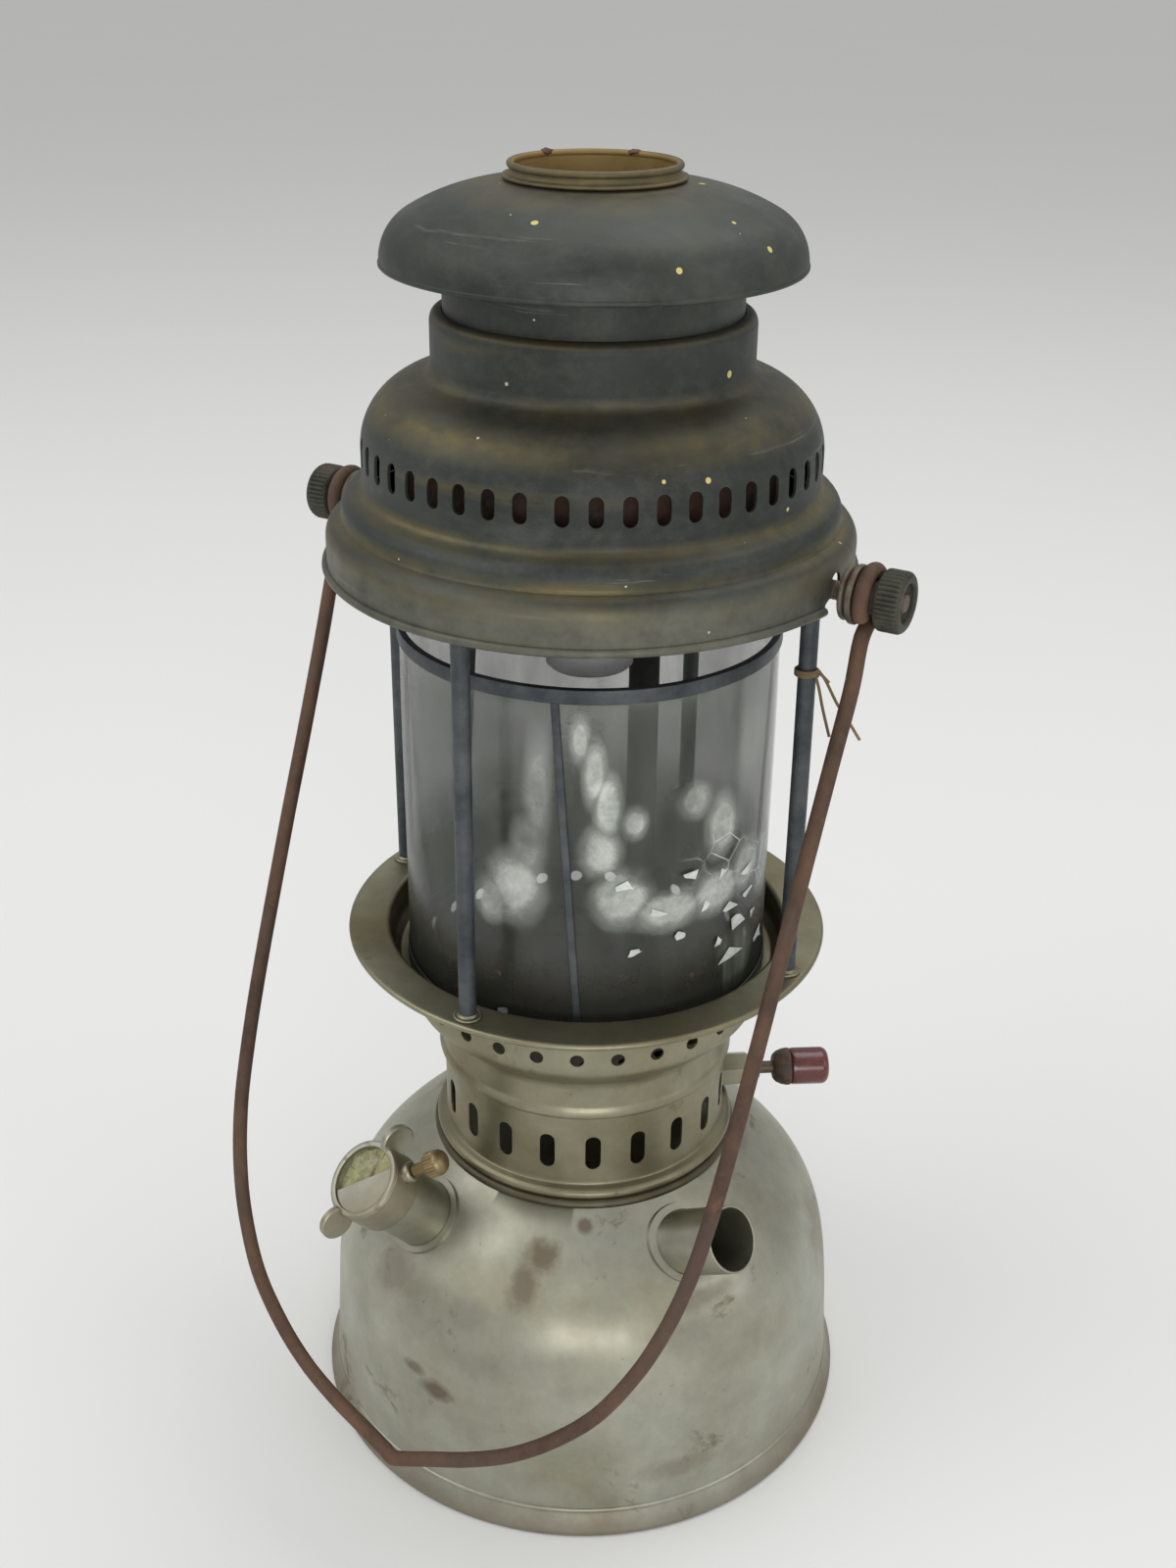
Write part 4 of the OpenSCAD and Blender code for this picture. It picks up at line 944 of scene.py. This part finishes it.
def drum():
    z0 = TOP_Z + 2.4
    p = soften([(46.8, z0), (47.5, z0 + 0.9), (47.6, z0 + 1.6), (47.5, z0 + 2.3), (46.6, z0 + 3.2),
        (44.7, z0 + 3.9), (DRUM_R, z0 + 4.8), (DRUM_R, 110), (DRUM_R, 120), (DRUM_R, 131.5)], 0.7, 4)
    wave = ring_wave(31, 0.10, (2, 3, 5))
    body = lathe("drum_band", sheet(p, 0.7), 256, lambda a, r, z: (wave(a), 0 * a))
    holes = [moved(prism_data(stadium(4.7, 12.0, 8), -4, 4), radial(-57 + 18 * i, 114, DRUM_R))
        for i in range(DRUM_SLOTS) if i not in (5, 6)]
    holes.append(moved(rod_data(6.6, 20, 34, 36), AT_SPIN))
    cut(body, holes)
    dress(body, "drum", "lantern", "drum_brass", "vent_drum")


def gallery():
    cz = COLLAR_Z
    outer = soften([(44.65, 127.3), (45.5, 127.2), (46.2, 127.9), (46.3, 129), (46.0, 130.2), (45.4, 131.2),
        (45.6, 138.5), (46.4, 140.9), (50.15, 144.3), (53.2, 147.2), (54.2, 149.0), (54.5, 151.0),
        (54.8, 159.5), (55.3, 160.1), (57.7, 160.1), (60.5, 162.9), (61.0, 164.1), (61.0, cz - 1.5),
        (61.8, cz - 0.8), (70.6, cz - 0.8)], 0.9, 4)
    lip = arc(71.75, cz - 0.98, 1.0, 150, 450, 14)
    inner = soften([(70.8, cz + 0.01), (61.2, cz), (60.2, cz - 0.9), (60.2, 164.4), (59.7, 163.3),
        (57.4, 161.0), (54.0, 161.0), (53.7, 151.2), (53.4, 149.5), (52.6, 147.9), (49.55, 144.9),
        (45.8, 141.5), (44.85, 138.7), (44.65, 133.2), (44.65, 127.3)], 0.6, 4)
    wave, rim = ring_wave(41, 0.18, (2, 3, 4, 7)), ring_wave(43, 0.35, (2, 3, 5, 8, 11))

    def warp(a, r, z):
        k = share((r - 61) / 11)
        keep = np.ones_like(a)
        for post in QUARTERS:
            da = turn_from(a, radians(post))
            keep = np.minimum(keep, share(np.abs(np.degrees(da)) / 9 - 0.5))
        return wave(a) * k, rim(a) * k ** 2 * keep * 0.8 - 0.12 * k

    body = lathe("gallery_skirt", outer + lip + inner, 256, warp)
    holes = [moved(rod_data(2.05, -4, 3, 24), radial(360 * i / SKIRT_HOLES - 63, 154.6, 54.7))
        for i in range(SKIRT_HOLES)]
    cut(body, holes)
    dress(body, "drum", "lantern", "drum_brass", "gallery")


# ---------- frame ----------

def posts():
    parts, feet = [], []
    for i, a in enumerate(QUARTERS):
        top = 287.2 if a in (0, 180) else 299.1
        rng = np.random.default_rng(50 + i)
        zs = np.linspace(172.6, top, 26)
        sway = 0.28 * np.sin((zs - COLLAR_Z) / (top - COLLAR_Z) * pi) * rng.uniform(-1, 1)
        path = [(POST_R + s, 0.6 * s, z) for s, z in zip(sway, zs)]
        parts.append(moved(tube_data(path, 2.5, 22), rot("Z", a)))
        foot = soften([(2.3, 172.42), (4.1, 172.44), (4.15, 172.8), (3.75, 173.15), (3.1, 172.95),
            (2.75, 173.2), (2.3, 173.9)], 0.25, 3)
        feet.append(moved(lathe_data(foot, 40), rot("Z", a) @ shift(POST_R, 0, 0)))
    dress(merge("frame_rods", parts), "frame", "lantern", "frame_steel", "frame_posts")
    dress(merge("rod_collars", feet), "drum", "lantern", "frame_steel")


TIE_ENDS = [[(70.2, 0.5, 268.1), (72.4, 0.9, 265.4), (76.1, 0.8, 259.6), (79.3, 1.4, 255.2),
             (83.2, 1.7, 249.9)],
            [(70.1, -0.2, 266.1), (71.4, -0.6, 262.8), (73.0, -1.0, 257.6), (75.5, -1.3, 250.3)],
            [(70.0, 0.8, 267.4), (71.6, 1.4, 266.0), (73.2, 1.6, 264.6)]]


def tie():
    """A thin iron wire wound round one post, its two ends left loose."""
    path = []
    for i in range(60):
        t = i / 59
        a = 2 * pi * 3.0 * t + 0.2
        path.append((POST_R + 3.05 * cos(a), 3.05 * sin(a), 266.2 + 1.9 * t))
    turns = tube_data(path, 0.42, 8)
    ends = []
    for p in TIE_ENDS:
        ends.append(tube_data(spline(p, 6), 0.42, 8))
    dress(merge("twisted_wire", [turns, *ends]), "wire", "lantern", "rust_steel", "tie_wire")


# ---------- bail ----------

BAIL_SIDE = [(84.0, 25), (83.4, 43), (82.5, 72), (81.5, 105), (80.1, 150), (78.4, 177), (76.4, 192),
    (73.0, 206), (67.7, 220), (59.2, 235), (48.0, 247), (36.2, 256), (24.0, 262.4), (12.0, 267.2),
    (4.0, 270.4)]


def bail():
    def eye(s):
        ring = []
        for i in range(17):
            t = radians(42 + 18 * i)
            ring.append((s * BAIL_SIDE_X, 7.0 * sin(t), -7.0 * cos(t)))
        return ring[::-1] + [(s * BAIL_SIDE_X, 1.3, -9.0), (s * 83.5, 0.1, -13.5)]
    right = eye(1) + [(x, 0, -z) for x, z in BAIL_SIDE]
    left = eye(-1) + [(-x + 0.5 * sin(z / 33), 0.25 * sin(z / 21), -z - 0.35 * sin(z / 27)) for x,
        z in BAIL_SIDE]
    path = spline(right + [(0, 0, -271.6)] + left[::-1], 6)
    rng = np.random.default_rng(5)
    r = 2.15 + 0.05 * np.convolve(rng.normal(0, 1, len(path) + 8), np.ones(9) / 9, "valid")
    body = tube("bail_rod", path, r, 22, at=AT_BAIL)
    dress(body, "rust", "handle", "rust_steel", "bail")


def bail_fittings():
    for turn, name, body in ((0, "knurled_nut_a", "nut_right"), (180, "knurled_nut_b", "nut_left")):
        at = rot("Z", turn) @ shift(NUT_X, 0, PIVOT_Z) @ rot("Y", 90)
        loop = soften([(2.68, 0), (6.8, 0), (7.9, 0.55), (8.3, 1.1), (8.3, 6.2), (7.8, 7.0), (7.0, 7.4),
            (5.5, 7.4), (5.2, 6.9), (5.1, 5.8), (2.68, 5.8)], 0.3, 3) + [(2.68, 0)]

        def knurl(a, r, z):
            on = share((r - 7.3) / 0.6) * share((z - 0.4) / 0.6) * share((7.1 - z) / 0.6)
            return -0.5 * on * (1 - np.abs(np.mod(a * 38 / (2 * pi), 1) * 2 - 1)) ** 1.4, 0 * a
        nut = lathe(name, loop, 304, knurl, at, 50)
        dress(nut, "nut", body, "hood_metal", "bail_" + body)
    rods, sleeves = [], []
    for turn in (0, 180):
        at = rot("Z", turn) @ shift(0, 0, PIVOT_Z) @ rot("Y", 90)

        def thread(a, r, z):
            return -0.16 * share((r - 2.2) * 4) * (np.sin(2 * pi * z / 0.8 + a) > 0.2), 0 * a
        zs = [(2.6, 63.4 + 0.2 * i) for i in range(148)]
        rods.append(moved(lathe_data([(0.01, 63.4)] + zs + [(2.2, 93.3), (0.01, 93.3)], 28, thread), at))
        sleeves.append(moved(lathe_data(soften([(2.66, 76.35), (5.6, 76.35), (7.1, 76.8), (7.35, 77.5),
            (6.9, 78.2), (6.2, 78.4), (6.2, 78.9), (7.7, 79.0), (8.0, 79.4), (8.0, 80.5), (7.7, 80.88),
            (4.62, 80.9), (4.62, 86.05), (2.66, 86.05)], 0.3, 3) + [(2.66, 76.35)], 56), at))
    dress(merge("pivot_rods", rods), "stud", "lantern", "stud_steel", "bail_studs")
    dress(merge("pivot_sleeves", sleeves), "stud", "lantern", "stud_steel", "bail_bushings")


# ---------- control ----------

def control():
    hexa = [(5 / cos(radians(30)) * cos(radians(60 * i)), 5 / cos(radians(30)) * sin(radians(60 * i)))
        for i in range(6)]
    nut = to_object("packing_nut", *prism_data(hexa, 28.4, 37.4), angle=30)
    cone = lathe_data([(0.01, 26.0), (4.2, 27.4), (5.5, 28.4), (6.2, 29.2), (6.2, 36.4), (5.2, 37.45),
        (0.01, 37.6)], 48)
    cut(nut, [cone], "INTERSECT", 30)
    body = lathe_data(soften([(0.01, 36.5), (4.6, 36.5), (4.6, 38.2), (4.2, 38.6), (3.5, 41.4), (3.0, 41.6),
        (0.01, 41.6)], 0.25, 3), 40)
    cut(nut, [body], "UNION", 30)
    cut(nut, [rod_data(2.08, 20, 50, 28)], "DIFFERENCE", 30)
    put_at(nut, AT_SPIN)
    dress(nut, "cap", "lantern", "drum_brass", "gland_nut")

    # Base of the knob, in the near-black colour of a painted shadow.
    foot = lathe("knob_base", soften([(2.06, 46.2), (4.0, 46.2), (5.0, 47.2), (5.75, 48.8), (6.1, 50.4),
        (6.1, 51.6), (5.7, 51.9), (2.06, 51.9)], 0.35, 3) + [(2.06, 46.2)], 72, None, AT_SPIN)
    dress(foot, "knob_shadow_foot", "control", "bakelite")
    loop = soften([(0.01, 52.0), (5.75, 52.0), (6.0, 52.3), (6.1, 53.2), (6.1, 62.2)], 0.3, 2) + arc(3.7,
        62.0, 2.4, 4, 86, 9) + [(0.01, 64.4)]

    def worn(a, r, z):
        return -0.10 * share(r - 5.2) * share(np.sin(a * 5 + 1.3 * np.sin(z / 3))), 0 * a
    knob = lathe("knob_grip", loop, 96, worn, AT_SPIN)
    dress(knob, "knob", "control", "bakelite", "control_knob")


# ---------- globe ----------

def globe():
    z0, z1 = GLOBE_Z0, GLOBE_Z1
    warp_r = ring_wave(61, 0.5, (2, 3, 4, 5, 7))

    def sheet_warp(a, r, z):
        t = share((z - z0) / (z1 - z0))
        belly = 0.22 * np.sin(5 * a + 1.1) * np.sin(pi * t) + 0.16 * np.sin(9 * a + 6 * t) * np.sin(pi * t)
        return belly + 0.5 * warp_r(a) * share((t - 0.4) * 2) * 0.6, 0 * a
    n = 36
    out = [(MICA_R, 162.0 + (269.6 - 162.0) * i / n) for i in range(n + 1)]
    inn = [(53.95, z) for _, z in reversed(out)]
    body = lathe("mica_wall", out + inn, 240, sheet_warp)
    dress(body, "mica", "globe", "mica", "globe_sheet")

    for name, zc, s, seed, node in (("upper_hoop", z1, -1, 71, "globe_top_ring"),
                                    ("lower_hoop", z0, 1, 72, "globe_bottom_ring")):
        loop = soften([(53.2, zc), (55.1, zc), (55.1, zc + s * 4.1), (54.55, zc + s * 4.1),
            (54.46, zc + s * 0.8), (53.84, zc + s * 0.8), (53.7, zc + s * 4.1), (53.2, zc + s * 4.1),
            (53.2, zc)], 0.25, 3)
        drop = ring_wave(seed, 0.45, (2, 3, 5, 8, 11))
        k = 1 if s < 0 else 0.15

        def hoop_warp(a, r, z, k=k, drop=drop, s=s):
            return 0.3 * warp_r(a) * k, (drop(a) * 0.7 - 0.25) * k * (1 if s < 0 else 0)
        hoop = lathe(name, loop, 224, hoop_warp)
        dress(hoop, "frame", "globe", "frame_steel", node)

    strips = []
    for a0 in (-66.5, 42, 163):
        pts = 30
        verts, faces = [], []
        for i in range(pts + 1):
            z = 165.3 + (266.3 - 165.3) * i / pts
            mid = radians(a0) - (z - 215.8) * tan(radians(3.9)) / STRIP_R
            half = 1.2 / STRIP_R
            for r, d in ((54.75, -1), (55.15, -0.8), (55.28, 0), (55.15, 0.8), (54.75, 1)):
                rr = r - (0 if r > 54.9 else 0.1)
                verts.append((rr * cos(mid + d * half), rr * sin(mid + d * half), z))
        for i in range(pts):
            for j in range(5):
                l = (j + 1) % 5
                faces.append((i * 5 + j, i * 5 + l, (i + 1) * 5 + l, (i + 1) * 5 + j))
        faces.append(tuple(range(5))[::-1])
        faces.append(tuple(pts * 5 + j for j in range(5)))
        strips.append((verts, faces))
    dress(merge("seam_strips", strips), "frame", "globe", "frame_steel", "globe_strips")

    # Flakes of mica that have lifted off the outer face.
    flakes = []
    rng = np.random.default_rng(81)
    spots = [(-13, 196, 4.5), (-9, 190, 5.0), (-18, 186, 3.5), (-24, 200, 4.0), (-32, 193, 3.0),
        (-40, 202, 4.0), (-46, 190, 3.2), (-5, 205, 4.2), (-2, 196, 5.0), (2, 188, 3.5), (-20, 208, 5.5),
        (-28, 212, 4.0), (-12, 180, 6.5), (6, 178, 5.0), (-50, 212, 3.4), (120, 204, 4.0), (126, 212, 3.0),
        (150, 188, 3.5)]
    for az, z, size in spots:
        n = rng.integers(5, 8)
        ang = np.sort(rng.uniform(0, 2 * pi, n))
        rad = size * rng.uniform(0.45, 1.0, n)
        tilt = rng.uniform(-0.5, 0.5)
        lift = rng.uniform(0.05, 0.18)
        top, bot = [], []
        for t, q in zip(ang, rad):
            u, v = q * cos(t + tilt), 0.6 * q * sin(t + tilt)
            phi = radians(az) + u / 54.6
            r = 54.95 + lift * max(0.0, u) * 0.6 + 0.02 * abs(v)
            top.append((r * cos(phi), r * sin(phi), z + v))
            bot.append(((r - 0.08) * cos(phi), (r - 0.08) * sin(phi), z + v))
        m = len(top)
        f = [tuple(range(m)), tuple(range(m, 2 * m))[::-1]] + [(i, i + m, (i + 1) % m + m, (i + 1) % m)
            for i in range(m)]
        flakes.append((top + bot, f))
    dress(merge("mica_flakes", flakes), "flake", "globe", "mica")


# ---------- hood ----------

def hood():
    p = [(73.5, 287.8), (73.5, 292.0)] + arc(67.9, 296.4, 5.6, 0, 75,
        9) + soften([(69.35, 301.8), (69.0, 302.6), (68.95, 303.4)], 0.5, 4)[1:]
    p += arc(63.9, 304, 5.0, 5, 70, 8)[1:] + soften([(65.61, 308.7), (64.1, 309.45), (63.2, 310.4),
        (63.0, 311.6), (63.0, 315)], 0.8, 4)[1:]
    p += arc(44, 320.5, 19, 0, 80, 22) + soften([(47.3, 339.2), (45.2, 339.9), (44.0, 341.0), (43.5, 342.8),
        (43.5, 354.2), (43.0, 355.7), (42.0, 356.5), (40.3, 356.6)], 0.9, 5)[1:]
    dent = dents([(-20, 330, 9, 6, 0.5), (-75, 326, 7, 5, 0.35), (-45, 298, 6, 3, 0.4),
        (110, 328, 10, 7, 0.6), (200, 300, 6, 4, 0.5)])
    oval, rim = ring_wave(91, 0.25, (2, 3, 5)), ring_wave(92, 0.5, (2, 3, 5, 7, 9))

    def warp(a, r, z):
        low = share((296 - z) / 9)
        w = dent(a, z) * share((r - 44) / 8) + oval(a) * share((r - 44) / 20) + rim(a) * low * 0.5
        ends = 0 * a
        for k in (0, pi):
            da = turn_from(a, k)
            ends += np.exp(-((np.abs(da) - radians(7)) / radians(3)) ** 2)
        return w + 0.35 * ends * low, -0.25 * rim(a) * low ** 2
    body = lathe("hood_bell", sheet(p, 0.8), 282, warp)
    cuts = [moved(prism_data(stadium(3.75, 7.9, 8), -5, 5), radial(-67.2 + 7.617 * i, 320.5, 62.6))
        for i in range(HOOD_SLOTS)]
    side = [(3.2, 293.4), (3.2, 291.0), (3.4, 290.2), (5.6, 289.4), (6.4, 288.0)]
    key = [(-6.4, 280), (6.4, 280)] + side[::-1]
    key += [(3.2 * cos(radians(15 * i)), 293.4 + 3.2 * sin(radians(15 * i))) for i in range(1, 12)]
    key += [(-x, z) for x, z in side]
    for a in (0, 180):
        cuts.append(moved(prism_data(key, 60, 82), radial(a, 0, 0)))
    cut(body, cuts)
    dress(body, "hood", "hood", "hood_metal", "hood_shell")

    # Rolled wire edge, open at the two keyholes.
    rolls = []
    for a0 in (5.4, 185.4):
        path, rad = [], []
        for i in range(121):
            t = i / 120
            a = radians(a0 + 169.2 * t)
            end = exp(-(min(t, 1 - t) * 30) ** 2)
            r = 73.55 + 0.5 * rim(np.array(a)) + 0.35 * end * 1.4
            path.append((r * cos(a), r * sin(a), 288.2 - 0.25 * rim(np.array(a)) - 0.3 * end))
            rad.append(1.2)
        rolls.append(tube_data(path, rad, 12))
    dress(merge("hood_rolled_edge", rolls), "hood", "hood", "hood_metal")

    neck = lathe("hood_collar", sheet(soften([(42.2, 351.3), (41, 351.4), (40.0, 352.6), (40.0, 362),
        (40.0, 370.8), (40.5, 372.4)], 0.7, 4), 0.7), 192)
    dress(neck, "hood", "hood", "hood_metal", "hood_neck")

    q = (42.2, 369.4)
    e = (q[0] + 13.8 * cos(radians(60)), q[1] + 13.8 * sin(radians(60)))
    w = (e[0] - 55 * cos(radians(60)), e[1] - 55 * sin(radians(60)))
    c = [(55.9, 368.2)] + arc(*q, 13.8, 0, 60, 18) + arc(*w, 55, 60, 84,
        12)[1:] + soften([(27.4, 388.15), (25.2, 388.7), (23.4, 389.2), (22.25, 389.45)], 0.8, 3)[1:]
    capdent = dents([(-70, 382, 12, 4, 0.5), (10, 384, 10, 4, 0.35), (140, 380, 12, 5, 0.5)])
    sway, lip = ring_wave(95, 0.3, (2, 3, 4)), ring_wave(96, 0.4, (2, 3, 5, 6))
    outer_only = sheet(c, 0.8)

    def cap_warp(a, r, z):
        k = share((r - 30) / 26)
        return (sway(a) + capdent(a, z)) * k, 0.5 * lip(a) * k ** 3
    top = lathe("hood_crown", outer_only, 224, cap_warp)
    dress(top, "hood", "hood", "hood_metal", "hood_cap")
    edge = []
    for i in range(224):
        a = np.array(2 * pi * i / 224)
        edge.append(((55.45 + float(sway(a))) * cos(a), (55.45 + float(sway(a))) * sin(a),
            368.75 + 0.5 * float(lip(a))))
    dress(tube("crown_rolled_edge", edge, 0.85, 10, True), "hood", "hood", "hood_metal")

    ring = soften([(21.2, 386), (22, 386), (22, 389.6), (24.0, 389.62), (24.1, 390.3), (22.4, 390.6),
        (22, 391.2), (22.0, 392.0)], 0.4, 3) + arc(21.85, 392.85, 0.95, -60, 205, 12) + [(21.2, 392.2),
        (21.2, 386)]
    rim_wave = ring_wave(97, 0.12, (2, 3, 4))
    lump = []
    rng = np.random.default_rng(99)
    ico = bmesh.new()
    bmesh.ops.create_icosphere(ico, subdivisions=3, radius=1.0)
    base = np.array([v.co for v in ico.verts])
    tri = [tuple(v.index for v in f.verts) for f in ico.faces]
    ico.free()
    for a, s in ((157, 1.0), (91, 1.1), (152, 0.55)):
        f = 1 + 0.22 * np.sin(base @ rng.normal(0, 2.4, 3) + 1) + 0.15 * np.sin(base
            @ rng.normal(0, 4.5, 3))
        v = base * f[:, None] * np.array([1.0, 1.5, 0.85]) * s
        lump.append(moved((v, tri), rot("Z", a) @ shift(21.6, 0, 393.35)))
    ring_ob = lathe("chimney_lip", ring, 160, lambda a, r, z: (rim_wave(a), 0 * a))
    dress(ring_ob, "chimney", "hood", "chimney_metal", "chimney_ring")
    dress(merge("chimney_lumps", lump), "hot", "hood", "chimney_metal")


# ---------- plain nodes keep their construction shape ----------

KEEP = {"tank_socket": "brass", "pickup_tube": "brass", "pump_flange": "tank", "check_valve": "brass",
    "filler_flange": "tank", "cap_gasket": "rubber", "gauge_dial": "dial", "gauge_pointer": "pointer",
    "gauge_glass": "glass", "gauge_cover": "cap", "air_plate": "drum", "frame_ring": "frame",
    "inner_casing": "hot", "burner_plate": "hot", "mixing_chamber": "hot", "mixing_tube": "hot",
    "burner_nozzle": "clay", "vaporizer_tube": "black", "vaporizer_body": "brass", "vaporizer_nut": "brass",
    "union_nut": "brass", "jet": "brass", "needle_rod": "brass", "spirit_cup": "brass", "spindle": "stud",
    "cap_brackets": "hot", "inner_chimney": "chimney"}


def dress_plain():
    for name, key in KEEP.items():
        ob = NODES[name]
        ob.data.materials.clear()
        ob.data.materials.append(M[key])
        shade(ob, 32)


# Name, place, target, size and power of each lamp, in metres and watts.
LAMPS = [("key", (1.05, -1.55, 0.62), (0, 0, 0.14), (0.9, 0.5), 10.0),
         ("window", (-1.0, -1.0, 1.5), (0, 0, 0.2), (1.6, 1.4), 11.0),
         ("fill", (1.6, 0.1, 0.9), (0, 0, 0.2), (0.8, 1.2), 4.0),
         ("top", (0.1, 0.6, 1.8), (0, 0, 0.2), (1.2, 0.9), 9.0)]


def studio():
    floor = to_object("floor", [(x * 14000, y * 14000, -0.05) for x,
        y in ((-1, -1), (1, -1), (1, 1), (-1, 1))], [(0, 1, 2, 3)])
    floor.data.materials.append(mat_floor())
    world = bpy.data.worlds.new("studio")
    bpy.context.scene.world = world
    world.use_nodes = True
    t = world.node_tree
    t.nodes.clear()
    out, bg = t.nodes.new("ShaderNodeOutputWorld"), t.nodes.new("ShaderNodeBackground")
    t.links.new(bg.outputs[0], out.inputs[0])
    co, sep = t.nodes.new("ShaderNodeTexCoord"), t.nodes.new("ShaderNodeSeparateXYZ")
    ramp = t.nodes.new("ShaderNodeValToRGB")
    t.links.new(co.outputs["Generated"], sep.inputs[0])
    t.links.new(sep.outputs[2], ramp.inputs[0])
    e = ramp.color_ramp.elements
    e[0].position, e[0].color = 0.0, (0.60, 0.61, 0.62, 1)
    e[1].position, e[1].color = 0.75, (0.98, 0.98, 0.97, 1)
    m = e.new(0.25)
    m.color = (0.74, 0.75, 0.76, 1)
    path, mix = t.nodes.new("ShaderNodeLightPath"), t.nodes.new("ShaderNodeMix")
    mix.data_type = "RGBA"
    t.links.new(path.outputs["Is Camera Ray"], mix.inputs[0])
    t.links.new(ramp.outputs[0], mix.inputs[6])
    mix.inputs[7].default_value = (0.80, 0.80, 0.80, 1)
    t.links.new(mix.outputs[2], bg.inputs[0])
    bg.inputs[1].default_value = 0.62

    def lamp(name, at, target, size, power):
        d = bpy.data.lights.new(name, "AREA")
        d.shape, d.size, d.size_y, d.energy = "RECTANGLE", size[0], size[1], power
        ob = bpy.data.objects.new(name, d)
        bpy.context.scene.collection.objects.link(ob)
        ob.location = at
        ob.rotation_mode = "QUATERNION"
        ob.rotation_quaternion = (Vector(target) - Vector(at)).to_track_quat("-Z", "Y")
    for setting in LAMPS:
        lamp(*setting)
    bpy.context.scene.view_settings.view_transform = "Standard"


tank()
pump()
filler()
filler_cap()
drum()
gallery()
posts()
tie()
bail()
bail_fittings()
control()
globe()
hood()
dress_plain()
studio()
